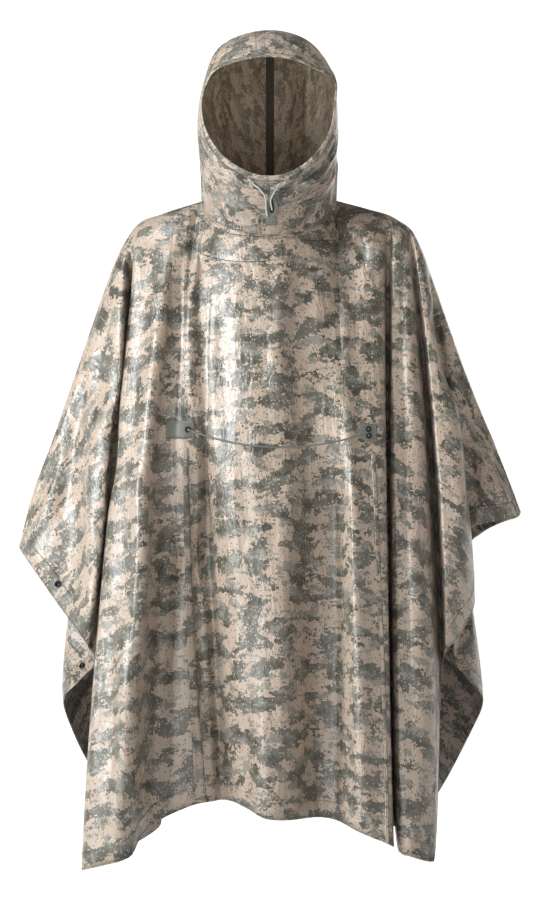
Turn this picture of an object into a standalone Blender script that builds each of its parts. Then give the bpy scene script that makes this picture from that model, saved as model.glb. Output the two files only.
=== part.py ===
"""Hooded rain poncho, worn form, held at the neck and shoulders.

Metres, +Z up, the front faces -Y. The origin is the centre of the neck at the height of the shoulder fold.
Cloth is lofted through named fold lines: each runs from the shoulder fold or the neck seam to the hem or the
side edge, and the tables below hold one row for each.
"""

import math
from collections import namedtuple

import bmesh
import bpy
import numpy as np
from mathutils import Matrix, Vector
from mathutils.bvhtree import BVHTree

# Cloth and gaps
WALL = 0.0020
GAP = 0.0003
LIE = 0.0006
TRIM_WALL = 0.0014

# Neck seam: half width, depth forward and back, and how far it dips in front and behind
NECK_HALF = 0.108
NECK_FRONT = 0.112
NECK_BACK = 0.092
NECK_TOP = 0.020
NECK_DIP_FRONT = 0.060
NECK_DIP_BACK = 0.008
NECK_CLEAR = 0.0010

# Shoulder fold seen from the front: x, z, and the radius of the cloth over it
Shoulder = namedtuple("Shoulder", "x z roll")
SHOULDER_FOLD = tuple(map(Shoulder._make, (
    (-0.414, -0.553, 0.002),
    (-0.398, -0.488, 0.004),
    (-0.357, -0.371, 0.010),
    (-0.324, -0.276, 0.016),
    (-0.290, -0.178, 0.024),
    (-0.266, -0.110, 0.032),
    (-0.248, -0.066, 0.040),
    (-0.224, -0.026, 0.044),
    (-0.177, -0.002, 0.042),
    (-0.128, 0.014, 0.032),
    (-0.108, 0.020, 0.000),
    (0.108, 0.020, 0.000),
    (0.128, 0.015, 0.032),
    (0.158, 0.007, 0.040),
    (0.211, -0.012, 0.044),
    (0.237, -0.034, 0.042),
    (0.250, -0.060, 0.038),
    (0.266, -0.104, 0.032),
    (0.296, -0.190, 0.024),
    (0.327, -0.276, 0.016),
    (0.366, -0.371, 0.010),
    (0.392, -0.436, 0.004),
    (0.414, -0.495, 0.002),
)))
ROLL_ENDS = 0.075

# Fold lines: name, x on the top edge, then the cubic's outer handle (from the top), its lower handle and its end
Fold = namedtuple("Fold", "name top_x leave arrive end")
FRONT_FOLDS = tuple(map(Fold._make, (
    ("left tip", -0.4135, (0.001, -0.001, -0.002), (-0.411, -0.004, -0.556), (-0.409, -0.006, -0.559)),
    ("left wing hem", -0.398, (0.003, -0.018, -0.040), (-0.394, -0.032, -0.555), (-0.385, -0.036, -0.590)),
    ("left wing outer", -0.365, (0.006, -0.030, -0.080), (-0.366, -0.058, -0.560), (-0.356, -0.052, -0.630)),
    ("left wing middle", -0.325, (0.008, -0.036, -0.110), (-0.326, -0.072, -0.570), (-0.332, -0.060, -0.662)),
    ("left wing inner", -0.288, (0.010, -0.044, -0.130), (-0.272, -0.092, -0.560), (-0.300, -0.084, -0.702)),
    ("left wing root", -0.244, (0.010, -0.040, -0.160), (-0.222, -0.078, -0.560), (-0.262, -0.080, -0.780)),
    ("left pleat back", -0.232, (0.022, -0.010, -0.180), (-0.160, -0.040, -0.620), (-0.176, -0.062, -0.980)),
    ("left pleat turn", -0.227, (0.018, -0.026, -0.200), (-0.164, -0.062, -0.640), (-0.178, -0.082, -1.000)),
    ("left pleat under", -0.221, (-0.008, -0.052, -0.220), (-0.270, -0.098, -0.700), (-0.288, -0.120, -1.062)),
    ("left pleat lip", -0.216, (-0.020, -0.076, -0.240), (-0.290, -0.125, -0.700), (-0.303, -0.148, -1.067)),
    ("left strip edge", -0.209, (-0.018, -0.094, -0.250), (-0.284, -0.148, -0.700), (-0.298, -0.172, -1.064)),
    ("left strip face", -0.197, (-0.012, -0.110, -0.250), (-0.256, -0.168, -0.700), (-0.266, -0.190, -1.055)),
    ("left strip ridge", -0.180, (-0.004, -0.125, -0.250), (-0.226, -0.185, -0.700), (-0.225, -0.202, -1.041)),
    ("left strip wall", -0.160, (-0.006, -0.120, -0.250), (-0.198, -0.150, -0.700), (-0.208, -0.160, -1.014)),
    ("left hollow", -0.140, (-0.010, -0.118, -0.260), (-0.184, -0.130, -0.700), (-0.180, -0.122, -0.990)),
    ("left seam", -0.118, (-0.036, -0.148, -0.275), (-0.128, -0.158, -0.700), (-0.110, -0.138, -0.961)),
    ("left valley", -0.085, (-0.022, -0.080, -0.220), (-0.096, -0.150, -0.700), (-0.070, -0.140, -0.957)),
    ("middle ridge foot", -0.048, (-0.014, -0.065, -0.220), (-0.056, -0.182, -0.680), (-0.040, -0.166, -0.966)),
    ("middle ridge", -0.012, (-0.004, -0.060, -0.220), (-0.012, -0.200, -0.680), (-0.006, -0.200, -0.980)),
    ("middle ridge side", 0.026, (0.004, -0.064, -0.220), (0.028, -0.184, -0.680), (0.034, -0.186, -0.983)),
    ("right hollow", 0.060, (0.012, -0.070, -0.220), (0.074, -0.156, -0.680), (0.074, -0.146, -0.983)),
    ("right ridge foot", 0.088, (0.022, -0.085, -0.230), (0.108, -0.172, -0.690), (0.106, -0.164, -0.987)),
    ("right ridge", 0.118, (0.014, -0.150, -0.262), (0.134, -0.202, -0.700), (0.138, -0.198, -1.000)),
    ("right seam", 0.150, (0.006, -0.144, -0.255), (0.186, -0.190, -0.720), (0.188, -0.198, -1.020)),
    ("right pleat lip", 0.184, (0.003, -0.108, -0.240), (0.187, -0.170, -0.700), (0.198, -0.186, -1.025)),
    ("right pleat under", 0.189, (-0.004, -0.056, -0.220), (0.180, -0.138, -0.700), (0.190, -0.156, -1.022)),
    ("right pleat turn", 0.193, (-0.022, -0.036, -0.200), (0.152, -0.100, -0.700), (0.164, -0.118, -1.000)),
    ("right pleat back", 0.197, (-0.024, -0.016, -0.200), (0.152, -0.078, -0.700), (0.164, -0.096, -0.990)),
    ("right panel edge", 0.203, (-0.002, -0.046, -0.220), (0.196, -0.118, -0.700), (0.204, -0.146, -1.034)),
    ("right panel", 0.212, (0.006, -0.078, -0.230), (0.226, -0.148, -0.700), (0.227, -0.174, -1.041)),
    ("right corner", 0.222, (0.012, -0.074, -0.220), (0.262, -0.140, -0.660), (0.263, -0.147, -1.053)),
    ("right valley", 0.229, (0.020, -0.034, -0.180), (0.284, -0.068, -0.540), (0.279, -0.106, -0.745)),
    ("roll foot", 0.233, (0.022, -0.054, -0.160), (0.294, -0.114, -0.520), (0.290, -0.116, -0.715)),
    ("roll front", 0.239, (0.024, -0.066, -0.150), (0.314, -0.142, -0.490), (0.303, -0.114, -0.697)),
    ("roll middle", 0.247, (0.022, -0.056, -0.140), (0.330, -0.122, -0.460), (0.324, -0.092, -0.661)),
    ("roll side", 0.255, (0.016, -0.034, -0.130), (0.334, -0.074, -0.450), (0.334, -0.058, -0.634)),
    ("roll back", 0.265, (0.002, -0.014, -0.120), (0.284, -0.022, -0.440), (0.308, -0.024, -0.560)),
    ("right wing inner", 0.290, (-0.002, -0.020, -0.090), (0.302, -0.040, -0.440), (0.326, -0.034, -0.524)),
    ("right wing middle", 0.326, (-0.004, -0.024, -0.070), (0.342, -0.046, -0.440), (0.352, -0.044, -0.511)),
    ("right wing outer", 0.368, (-0.004, -0.020, -0.040), (0.382, -0.036, -0.460), (0.385, -0.034, -0.507)),
    ("right wing hem", 0.397, (-0.001, -0.010, -0.014), (0.404, -0.016, -0.486), (0.404, -0.014, -0.503)),
    ("right tip", 0.4135, (-0.001, -0.001, -0.001), (0.412, -0.004, -0.497), (0.411, -0.005, -0.499)),
)))
BACK_FOLDS = tuple(map(Fold._make, (
    ("left tip", -0.4135, (0.001, 0.001, -0.002), (-0.411, 0.005, -0.556), (-0.408, 0.008, -0.560)),
    ("left wing hem", -0.398, (0.003, 0.018, -0.040), (-0.388, 0.034, -0.555), (-0.371, 0.024, -0.598)),
    ("left wing outer", -0.365, (0.004, 0.034, -0.080), (-0.358, 0.050, -0.560), (-0.336, 0.008, -0.646)),
    ("left curl top", -0.325, (0.004, 0.050, -0.110), (-0.345, 0.085, -0.620), (-0.296, -0.026, -0.680)),
    ("left curl front", -0.295, (0.002, 0.066, -0.130), (-0.360, 0.085, -0.660), (-0.279, -0.046, -0.730)),
    ("left curl middle", -0.276, (0.000, 0.080, -0.140), (-0.374, 0.075, -0.720), (-0.311, -0.044, -0.768)),
    ("left curl side", -0.262, (0.000, 0.092, -0.150), (-0.362, 0.095, -0.740), (-0.340, -0.010, -0.806)),
    ("left curl foot", -0.250, (0.000, 0.104, -0.160), (-0.330, 0.110, -0.760), (-0.326, 0.044, -0.862)),
    ("left edge", -0.238, (0.004, 0.112, -0.180), (-0.290, 0.130, -0.760), (-0.300, 0.086, -0.922)),
    ("left corner", -0.222, (0.006, 0.116, -0.200), (-0.250, 0.145, -0.760), (-0.244, 0.122, -1.024)),
    ("left back ridge", -0.196, (0.002, 0.126, -0.220), (-0.214, 0.176, -0.720), (-0.214, 0.184, -1.022)),
    ("left back valley", -0.158, (-0.002, 0.122, -0.230), (-0.172, 0.148, -0.700), (-0.176, 0.140, -0.998)),
    ("left back pleat lip", -0.124, (-0.006, 0.126, -0.230), (-0.142, 0.188, -0.700), (-0.150, 0.204, -0.990)),
    ("left back pleat back", -0.112, (0.008, 0.092, -0.220), (-0.094, 0.138, -0.700), (-0.104, 0.146, -0.984)),
    ("middle back left", -0.086, (-0.008, 0.060, -0.200), (-0.098, 0.176, -0.700), (-0.090, 0.188, -0.976)),
    ("middle back ridge", -0.050, (-0.006, 0.060, -0.200), (-0.052, 0.200, -0.700), (-0.046, 0.214, -0.972)),
    ("middle back hollow", -0.008, (0.000, 0.056, -0.200), (-0.002, 0.172, -0.700), (0.000, 0.174, -0.966)),
    ("middle back right", 0.036, (0.004, 0.058, -0.200), (0.044, 0.186, -0.700), (0.048, 0.198, -0.968)),
    ("right back ridge", 0.078, (0.010, 0.066, -0.210), (0.094, 0.200, -0.700), (0.096, 0.214, -0.974)),
    ("right back valley", 0.116, (0.008, 0.112, -0.220), (0.136, 0.152, -0.700), (0.142, 0.150, -0.982)),
    ("right back face", 0.152, (0.006, 0.124, -0.230), (0.172, 0.180, -0.700), (0.180, 0.188, -1.000)),
    ("right back side", 0.186, (0.004, 0.120, -0.220), (0.212, 0.160, -0.720), (0.214, 0.158, -1.014)),
    ("right corner", 0.214, (-0.002, 0.110, -0.200), (0.240, 0.135, -0.720), (0.240, 0.110, -1.018)),
    ("right edge", 0.228, (-0.002, 0.104, -0.180), (0.284, 0.130, -0.720), (0.286, 0.090, -0.958)),
    ("right curl foot", 0.240, (0.000, 0.096, -0.160), (0.336, 0.120, -0.740), (0.334, 0.062, -0.862)),
    ("right curl side", 0.252, (0.002, 0.086, -0.150), (0.356, 0.100, -0.700), (0.352, 0.010, -0.806)),
    ("right curl middle", 0.262, (0.004, 0.076, -0.140), (0.362, 0.085, -0.660), (0.326, -0.034, -0.768)),
    ("right curl front", 0.274, (0.004, 0.064, -0.120), (0.338, 0.100, -0.600), (0.302, -0.044, -0.730)),
    ("right curl top", 0.290, (0.000, 0.052, -0.090), (0.336, 0.095, -0.500), (0.299, -0.010, -0.640)),
    ("right wing inner", 0.312, (-0.002, 0.046, -0.080), (0.322, 0.056, -0.450), (0.327, 0.036, -0.556)),
    ("right wing middle", 0.340, (-0.002, 0.036, -0.060), (0.350, 0.050, -0.460), (0.350, 0.036, -0.530)),
    ("right wing outer", 0.376, (-0.002, 0.024, -0.030), (0.384, 0.030, -0.470), (0.384, 0.022, -0.511)),
    ("right wing hem", 0.398, (-0.001, 0.010, -0.012), (0.404, 0.014, -0.490), (0.403, 0.011, -0.504)),
    ("right tip", 0.4135, (-0.001, 0.001, -0.001), (0.412, 0.005, -0.497), (0.411, 0.006, -0.499)),
)))

# Hood panels: name, place from the crown seam (0) to the throat (1), then points from the face to the neck seam
Section = namedtuple("Section", "name place points")
HOOD_SECTIONS = tuple(map(Section._make, (
    ("crown", 0.00, ((0, -0.135, 0.243), (0, -0.066, 0.293), (0, 0.028, 0.300), (0, 0.108, 0.226), (0, 0.116, 0.108))),
    ("brim", 0.20, ((0.072, -0.131, 0.227), (0.078, -0.064, 0.268), (0.080, 0.022, 0.268), (0.074, 0.090, 0.200),
                    (0.068, 0.096, 0.096))),
    ("temple", 0.42, ((0.113, -0.110, 0.180), (0.117, -0.062, 0.186), (0.118, 0.000, 0.172), (0.115, 0.034, 0.130),
                      (0.109, 0.036, 0.074))),
    ("cheek", 0.62, ((0.103, -0.106, 0.120), (0.114, -0.078, 0.108), (0.116, -0.060, 0.088), (0.112, -0.051, 0.060),
                     (0.106, -0.045, 0.026))),
    ("jaw", 0.82, ((0.059, -0.118, 0.071), (0.067, -0.119, 0.057), (0.071, -0.119, 0.039), (0.070, -0.116, 0.018),
                   (0.065, -0.109, -0.004))),
    ("throat", 1.00, ((0, -0.127, 0.052), (0, -0.134, 0.034), (0, -0.136, 0.016), (0, -0.134, -0.002),
                      (0, -0.127, -0.020))),
)))
HOOD_LEFT_WIDTH = 0.972
HOOD_RIGHT_WIDTH = 0.912
CASING_WIDTH = 0.009
CASING_WALL = 0.0030
HOOD_INSET = 0.0004
HOOD_LIFT = 0.0026
HOOD_SIDE_INSET = 0.0008
HOOD_SIDE_LIFT = 0.0010
HOOD_SIDE_POWER = 8
TAPE_WIDTH = 0.013

# Waist and seams: places are x on the top edge, drops run from 0 at the top to 1 at the hem
WAIST_DROPS = (0.375, 0.402)
SEAM_TOP = 0.416
PATCH_LEFT = (-0.151, -0.1055)
PATCH_RIGHT = (0.131, 0.158)
GROMMET_LEFT = -0.115
GROMMET_RIGHT = 0.143
GROMMET_APART = 0.0048
SEAM_LEFT = -0.118
SEAM_RIGHT = 0.150
SEAM_HALF = 0.0036
FRONT_EXTRA_PLACES = (*PATCH_LEFT, *PATCH_RIGHT, SEAM_LEFT - SEAM_HALF, SEAM_LEFT + SEAM_HALF,
                      SEAM_RIGHT - SEAM_HALF, SEAM_RIGHT + SEAM_HALF)
NECK_SIDE_PLACES = (-0.1079, -0.1055, 0.1055, 0.1079)
GROMMET_RADIUS = 0.0050
WAIST_CORD_RADIUS = 0.0014
WAIST_SAG = 0.026
WAIST_CLEAR = 0.0016
WAIST_END_LIFT = 0.0007
WAIST_END_RUN = 0.016

# Hood cord, its lock and tab
HOOD_CORD_RADIUS = 0.0013
EYELET_HEIGHT = 0.0012
LOCK_SIZE = (0.0200, 0.0380)
LOCK_THICK = 0.0022
LOCK_PLACE = (0.003, -0.1390, -0.006)
LEFT_STRAND = (
    (-0.019, -0.1400, 0.0340),
    (-0.0105, -0.1405, 0.0240),
    (-0.0092, -0.1405, 0.0080),
    (-0.0088, -0.1400, -0.0080),
    (-0.0060, -0.1395, -0.0180),
)
RIGHT_STRAND = (
    (0.0095, -0.1405, 0.0380),
    (0.0055, -0.1415, 0.0300),
    (0.0035, -0.1417, 0.0160),
    (0.0030, -0.1417, 0.0020),
)

# Snaps on the side hems
SNAP_RADIUS = 0.0056
SNAP_PROFILE = ((0.0, 0.0), (0.0, 0.0015), (0.0022, 0.0013), (0.0030, 0.0005), (0.0042, 0.0017),
                (SNAP_RADIUS, 0.0011), (SNAP_RADIUS, 0.0))

# Finish
CLOTH_COLOUR = (0.46, 0.44, 0.39)
INSIDE_COLOUR = (0.30, 0.27, 0.23)
PATCH_COLOUR = (0.42, 0.43, 0.40)
CORD_COLOUR = (0.55, 0.55, 0.50)
METAL_COLOUR = (0.05, 0.05, 0.05)
CLOTH_ROUGH = 0.45

# Mesh density
STEPS = 2
WIDE_FOLD = 0.026
CLOSEST = 0.0022
SETTLE_FROM = 0.012
DROP_STEPS = 14
TOP_CROWD = 1.5

Snap = namedtuple("Snap", "name side place drop")
SNAPS = tuple(map(Snap._make, (
    ("snap_front_left", -1, -0.348, 0.865),
    ("snap_back_left", 1, -0.2817, 0.9525),
    ("snap_front_right", -1, 0.277, 0.965),
    ("snap_back_right", 1, 0.244, 0.960),
)))


def hermite(knots, values, at, start=None, end=None, tight=False):
    """Smooth curve through values at knots, read at each place in at; a tight one never overshoots them."""
    knots = np.asarray(knots, float)
    values = np.asarray(values, float)
    at = np.clip(np.asarray(at, float), knots[0], knots[-1])
    step = np.diff(knots)
    slope = np.diff(values, axis=0) / step.reshape((-1,) + (1,) * (values.ndim - 1))
    tangent = np.empty_like(values)
    tangent[0] = slope[0] if start is None else start
    tangent[-1] = slope[-1] if end is None else end
    for k in range(1, len(knots) - 1):
        left, right = step[k - 1], step[k]
        tangent[k] = (slope[k - 1] * right + slope[k] * left) / (left + right)
        if tight:
            limit = 2.6 * np.minimum(np.abs(slope[k - 1]), np.abs(slope[k]))
            turns = slope[k - 1] * slope[k] < 0
            tangent[k] = np.where(turns, 0, np.clip(tangent[k], -limit, limit))
    k = np.clip(np.searchsorted(knots, at, side="right") - 1, 0, len(step) - 1)
    shape = (-1,) + (1,) * (values.ndim - 1)
    h = step[k].reshape(shape)
    f = ((at - knots[k]) / step[k]).reshape(shape)
    a, b = values[k], values[k + 1]
    ta, tb = tangent[k] * h, tangent[k + 1] * h
    return (a * (2 * f**3 - 3 * f**2 + 1) + ta * (f**3 - 2 * f**2 + f)
            + b * (3 * f**2 - 2 * f**3) + tb * (f**3 - f**2))


def neck_point(angle, spread=0.0):
    """Point of the neck seam; angle 0 is the front middle, pi the back middle, positive towards +X."""
    ahead = math.cos(angle)
    depth = NECK_FRONT if ahead > 0 else NECK_BACK
    dip = NECK_DIP_FRONT if ahead > 0 else NECK_DIP_BACK
    x = (NECK_HALF + spread) * math.sin(angle)
    y = -(depth + spread) * ahead
    return np.array((x, y, NECK_TOP - dip * abs(ahead) ** 0.8))


def top_point(x, side):
    """Point of the body's top edge; side is -1 for the front half and +1 for the back half."""
    if abs(x) >= NECK_HALF:
        fold_x = [row.x for row in SHOULDER_FOLD]
        fold_z = [row.z for row in SHOULDER_FOLD]
        clear = NECK_CLEAR * max(0.0, 1 - (abs(x) - NECK_HALF) / 0.02)
        return np.array((x + math.copysign(clear, x), side * GAP / 2, float(hermite(fold_x, fold_z, [x])[0])))
    angle = math.asin(x / NECK_HALF)
    if side > 0:
        angle = math.pi - angle
    return neck_point(angle, NECK_CLEAR)


def roll_radius(x):
    """How far the cloth stands out over the shoulder below a place on the top edge."""
    if abs(x) < NECK_HALF:
        return 0.0
    return float(np.interp(x, [row.x for row in SHOULDER_FOLD], [row.roll for row in SHOULDER_FOLD]))


def top_places(folds, extra):
    """The x of every column of a body half: the fold lines, steps between each two, and the extra ones."""
    tops = [row.top_x for row in folds]
    places = []
    for a, b in zip(tops, tops[1:]):
        count = STEPS if b - a < WIDE_FOLD else STEPS + 1
        places += [a + (b - a) * k / count for k in range(count)]
    places.append(tops[-1])
    clear = [x for x in places if x in tops or all(abs(x - other) > CLOSEST for other in extra)]
    return sorted(set(clear) | set(extra))


def body_points(folds, side, places, drops):
    """Grid of points, a row for each place along the top edge and a point for each drop from 0 to 1."""
    knots = [row.top_x for row in folds]
    below = drops[0] > 0
    drops = np.concatenate([[0.0], drops]) if below else np.asarray(drops)
    t = drops[:, None]
    lines = []
    for _, top_x, leave, arrive, end in folds:
        start = top_point(top_x, side)
        handle = start + np.array(leave)
        lines.append(start * (1 - t) ** 3 + 3 * handle * t * (1 - t) ** 2
                     + 3 * np.array(arrive) * t**2 * (1 - t) + np.array(end) * t**3)
    lines = np.array(lines)
    spread = np.cumsum([0] + [0.3 + 100 * (b - a) for a, b in zip(knots, knots[1:])])
    across = np.interp(places, knots, spread)
    grid = hermite(spread, lines, across, tight=True)
    for k, x in enumerate(places):
        slip = top_point(x, side) - grid[k, 0]
        grid[k] += slip * (1 - t) ** 3
        roll = roll_radius(x)
        f = np.clip(drops / ROLL_ENDS, 0, 1)
        grid[k, :, 1] += side * roll * np.sqrt(1 - (1 - f) ** 2) * np.clip(1 - drops, 0, 1) ** 2
    on_fold = np.array([abs(x) >= NECK_HALF for x in places])
    lean = np.abs(normals(grid)[:, 0, 1])
    grid[on_fold, 0, 1] = side * (GAP / 2 + LIE / 4 + WALL / 2 * lean[on_fold])
    return grid[:, 1:] if below else grid


def hood_points(side, places, drops):
    """Grid of one hood panel; side -1 is the one seen at the left in front. Drops run from the face to the neck."""
    at = [row.place for row in HOOD_SECTIONS]
    width = HOOD_LEFT_WIDTH if side < 0 else HOOD_RIGHT_WIDTH
    sections = []
    for _, place, points in HOOD_SECTIONS:
        at_side = math.sin(math.pi * place) ** HOOD_SIDE_POWER
        neck = neck_point(math.pi * (1 - place), -HOOD_INSET - HOOD_SIDE_INSET * at_side)
        neck[2] += HOOD_LIFT + HOOD_SIDE_LIFT * at_side
        sections.append([list(point) for point in points] + [list(neck)])
    sections = np.array(sections, float)
    knots = np.linspace(0, 1, sections.shape[1])
    down = np.array([hermite(knots, line, drops) for line in sections])
    flat = np.zeros_like(down[0])
    start = flat.copy()
    start[:, 0] = (down[1][:, 0] - down[0][:, 0]) / at[1] * 1.25
    end = flat.copy()
    end[:, 0] = (down[-1][:, 0] - down[-2][:, 0]) / (at[-1] - at[-2]) * 1.25
    grid = hermite(at, down, places, start, end)
    grid[:, :, 0] = np.maximum(grid[:, :, 0], 0)
    grid[:, :, 0] *= side * (1 + (width - 1) * (1 - np.asarray(drops) ** 4))
    return grid


def hood_lengths(side, places, first, last, count):
    """Grid of one hood panel between two distances from the face's edge; last None means the neck seam."""
    fine = hood_points(side, places, np.linspace(0, 1, 81))
    rows = []
    for line in fine:
        run = np.concatenate([[0], np.cumsum(np.linalg.norm(np.diff(line, axis=0), axis=1))])
        at = np.linspace(first, run[-1] if last is None else last, count)
        rows.append(np.stack([np.interp(at, run, line[:, k]) for k in range(3)], axis=1))
    return np.array(rows)


def normals(grid):
    """Unit normal at each point of a grid."""
    along = np.gradient(grid, axis=0)
    down = np.gradient(grid, axis=1)
    n = np.cross(along, down)
    return n / np.maximum(np.linalg.norm(n, axis=2, keepdims=True), 1e-9)


def new_object(name, mesh, colour, roughness, metallic=0.0):
    """Object in the poncho's collection with its own plain material."""
    ob = bpy.data.objects.new(name, mesh)
    PARTS.objects.link(ob)
    material = bpy.data.materials.new(name + "_material")
    material.use_nodes = True
    shader = material.node_tree.nodes["Principled BSDF"]
    shader.inputs["Base Color"].default_value = (*colour, 1)
    shader.inputs["Roughness"].default_value = roughness
    shader.inputs["Metallic"].default_value = metallic
    mesh.materials.clear()
    mesh.materials.append(material)
    return ob


def sheet_mesh(name, grid, flip):
    """Open surface through a grid of points, split on the same diagonal in every cell."""
    rows, cols = grid.shape[:2]
    points = grid.reshape(-1, 3)
    faces = []
    for i in range(rows - 1):
        for j in range(cols - 1):
            a, b = i * cols + j, (i + 1) * cols + j
            quad = (a, b, b + 1, a + 1)
            for tri in ((quad[0], quad[1], quad[2]), (quad[0], quad[2], quad[3])):
                faces.append(tri[::-1] if flip else tri)
    mesh = bpy.data.meshes.new(name)
    mesh.from_pydata([tuple(p) for p in points], [], faces)
    mesh.update()
    return mesh


def cloth(name, grid, colour, flip, wall=WALL):
    """Wall of cloth on a grid; the shell's middle lies on the grid."""
    mesh = sheet_mesh(name, grid, flip)
    mesh.shade_smooth()
    ob = new_object(name, mesh, colour, CLOTH_ROUGH)
    solidify = ob.modifiers.new("wall", "SOLIDIFY")
    solidify.thickness = wall
    solidify.offset = 0.0
    solidify.use_even_offset = False
    solidify.use_rim = True
    return ob


def tube(name, points, radius, colour, closed=False, resolution=2):
    """Round cord or ring through points."""
    data = bpy.data.curves.new(name, "CURVE")
    data.dimensions = "3D"
    data.bevel_depth = radius
    data.bevel_resolution = resolution
    data.use_fill_caps = not closed
    spline = data.splines.new("POLY")
    spline.points.add(len(points) - 1)
    for slot, point in zip(spline.points, points):
        slot.co = (*point, 1)
    spline.use_cyclic_u = closed
    ob = bpy.data.objects.new(name, data)
    PARTS.objects.link(ob)
    material = bpy.data.materials.new(name + "_material")
    material.use_nodes = True
    material.node_tree.nodes["Principled BSDF"].inputs["Base Color"].default_value = (*colour, 1)
    material.node_tree.nodes["Principled BSDF"].inputs["Roughness"].default_value = 0.6
    data.materials.append(material)
    return ob


def frame_at(point, normal):
    """Matrix that stands a piece on a surface, its own +Z along the normal and +Y as near up as can be."""
    z = Vector(normal).normalized()
    up = Vector((0, 0, 1))
    x = up.cross(z).normalized()
    y = z.cross(x)
    m = Matrix((x, y, z)).transposed().to_4x4()
    m.translation = Vector(point)
    return m


def outward(grid, centre):
    """Unit normals of a grid that point away from a centre, and whether its faces must be flipped for that."""
    n = normals(grid)
    flip = float(np.sum(n * (grid - np.array(centre)))) < 0
    return (-n if flip else n), flip


def ring_mesh(name, rings, flip):
    """Closed band through a grid whose rows run round and meet again."""
    mesh = sheet_mesh(name, np.concatenate([rings, rings[:1]]), flip)
    bm = bmesh.new()
    bm.from_mesh(mesh)
    bmesh.ops.remove_doubles(bm, verts=bm.verts, dist=0.00001)
    bm.to_mesh(mesh)
    bm.free()
    return mesh


def make_body():
    """Front and back halves of the body cloth; returns their grids and outward normals."""
    made = {}
    for name, folds, side, extra_x, extra_t in (
        ("front_body", FRONT_FOLDS, -1, FRONT_EXTRA_PLACES + NECK_SIDE_PLACES, (*WAIST_DROPS, SEAM_TOP)),
        ("back_body", BACK_FOLDS, 1, NECK_SIDE_PLACES, ()),
    ):
        places = top_places(folds, extra_x)
        drops = np.linspace(0, 1, DROP_STEPS) ** TOP_CROWD
        if extra_t:
            apart = [t for t in drops if min(abs(t - w) for w in extra_t) > 0.012 or t in (0, 1)]
            drops = np.array(sorted(apart + list(extra_t)))
        grid = body_points(folds, side, places, drops)
        n = normals(grid) * side
        cloth(name, grid, CLOTH_COLOUR, side < 0)
        made[name] = (places, drops, grid, n)
    return made


def make_hood():
    """Two side panels, the casing round the face and the tape inside the crown seam."""
    centre = (0, 0, 0.12)
    places = np.linspace(0, 1, 15)
    panel_start = CASING_WIDTH + 2 * LIE
    for name, side in (("hood_left", -1), ("hood_right", 1)):
        grid = hood_lengths(side, places, panel_start, None, 13)
        grid[:, :, 0] = side * np.maximum(grid[:, :, 0] * side, 0.0004)
        _, flip = outward(grid, centre)
        cloth(name, grid, CLOTH_COLOUR, flip)
    left = hood_lengths(-1, places[::-1], 0, CASING_WIDTH, 3)
    right = hood_lengths(1, places, 0, CASING_WIDTH, 3)
    band = np.concatenate([left, right[1:-1]])
    _, flip = outward(band, centre)
    mesh = ring_mesh("hood_casing", band, flip)
    mesh.shade_smooth()
    ob = new_object("hood_casing", mesh, CLOTH_COLOUR, CLOTH_ROUGH)
    wall = ob.modifiers.new("wall", "SOLIDIFY")
    wall.thickness = CASING_WALL
    wall.offset = 0.0
    line, beside = hood_lengths(1, places[:2], panel_start, None, 13)
    part = TAPE_WIDTH / 2 / beside[:, :1]
    edge = (line + (beside - line) * part)[1:-1]
    strip = np.array([edge * (-1, 1, 1), line[1:-1], edge])
    n, flip = outward(strip, centre)
    strip = strip - n * (WALL / 2 + GAP + TRIM_WALL / 2)
    cloth("hood_seam_tape", strip, INSIDE_COLOUR, flip, TRIM_WALL)


def hood_spot(x, drop):
    """Point and outward normal of the throat at a given x."""
    side = -1 if x < 0 else 1
    places = np.linspace(0.8, 1.0, 41)
    grid = hood_points(side, places, np.linspace(0, 1, 41))
    n, _ = outward(grid, (0, 0, 0.12))
    j = int(round(drop * 40))
    i = int(np.argmin(np.abs(grid[:, j, 0] - x)))
    return grid[i, j], n[i, j]


def turned(name, profile, colour, place, metallic=1.0):
    """Turned piece: a closed profile of (radius, height) spun round its own Z."""
    bm = bmesh.new()
    verts = [bm.verts.new((r, 0, z)) for r, z in profile]
    edges = [bm.edges.new((a, b)) for a, b in zip(verts, verts[1:] + verts[:1])]
    bmesh.ops.spin(bm, geom=verts + edges, cent=(0, 0, 0), axis=(0, 0, 1), angle=2 * math.pi, steps=12, use_merge=True)
    bmesh.ops.remove_doubles(bm, verts=bm.verts, dist=0.00001)
    bmesh.ops.recalc_face_normals(bm, faces=bm.faces)
    mesh = bpy.data.meshes.new(name)
    bm.to_mesh(mesh)
    bm.free()
    ob = new_object(name, mesh, colour, 0.3, metallic)
    ob.matrix_world = place
    return ob


def ring_profile(inner, outer, height):
    """Profile of a flat ring with a bevelled top, standing on zero."""
    return ((inner, 0), (outer, 0), (outer, height * 0.6), (outer - 0.0006, height),
            (inner + 0.0006, height), (inner, height * 0.6))


def settle(ob, n, supports):
    """Moves a piece along a normal until it lies a gap above the cloth under it."""
    depsgraph = bpy.context.evaluated_depsgraph_get()
    trees = [BVHTree.FromObject(bpy.data.objects[name], depsgraph) for name in supports]
    out = Vector(n).normalized()
    mesh = ob.data
    local = [v.co for v in mesh.vertices] + [p.center for p in mesh.polygons]
    local += [sum((mesh.vertices[k].co for k in e.vertices), Vector()) / 2 for e in mesh.edges]
    near = SETTLE_FROM
    for co in local:
        start = ob.matrix_world @ co + out * SETTLE_FROM
        for tree in trees:
            hit = tree.ray_cast(start, -out, 2 * SETTLE_FROM)
            if hit[0] is not None:
                near = min(near, hit[3])
    ob.matrix_world.translation += out * (SETTLE_FROM - near + GAP)


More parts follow.
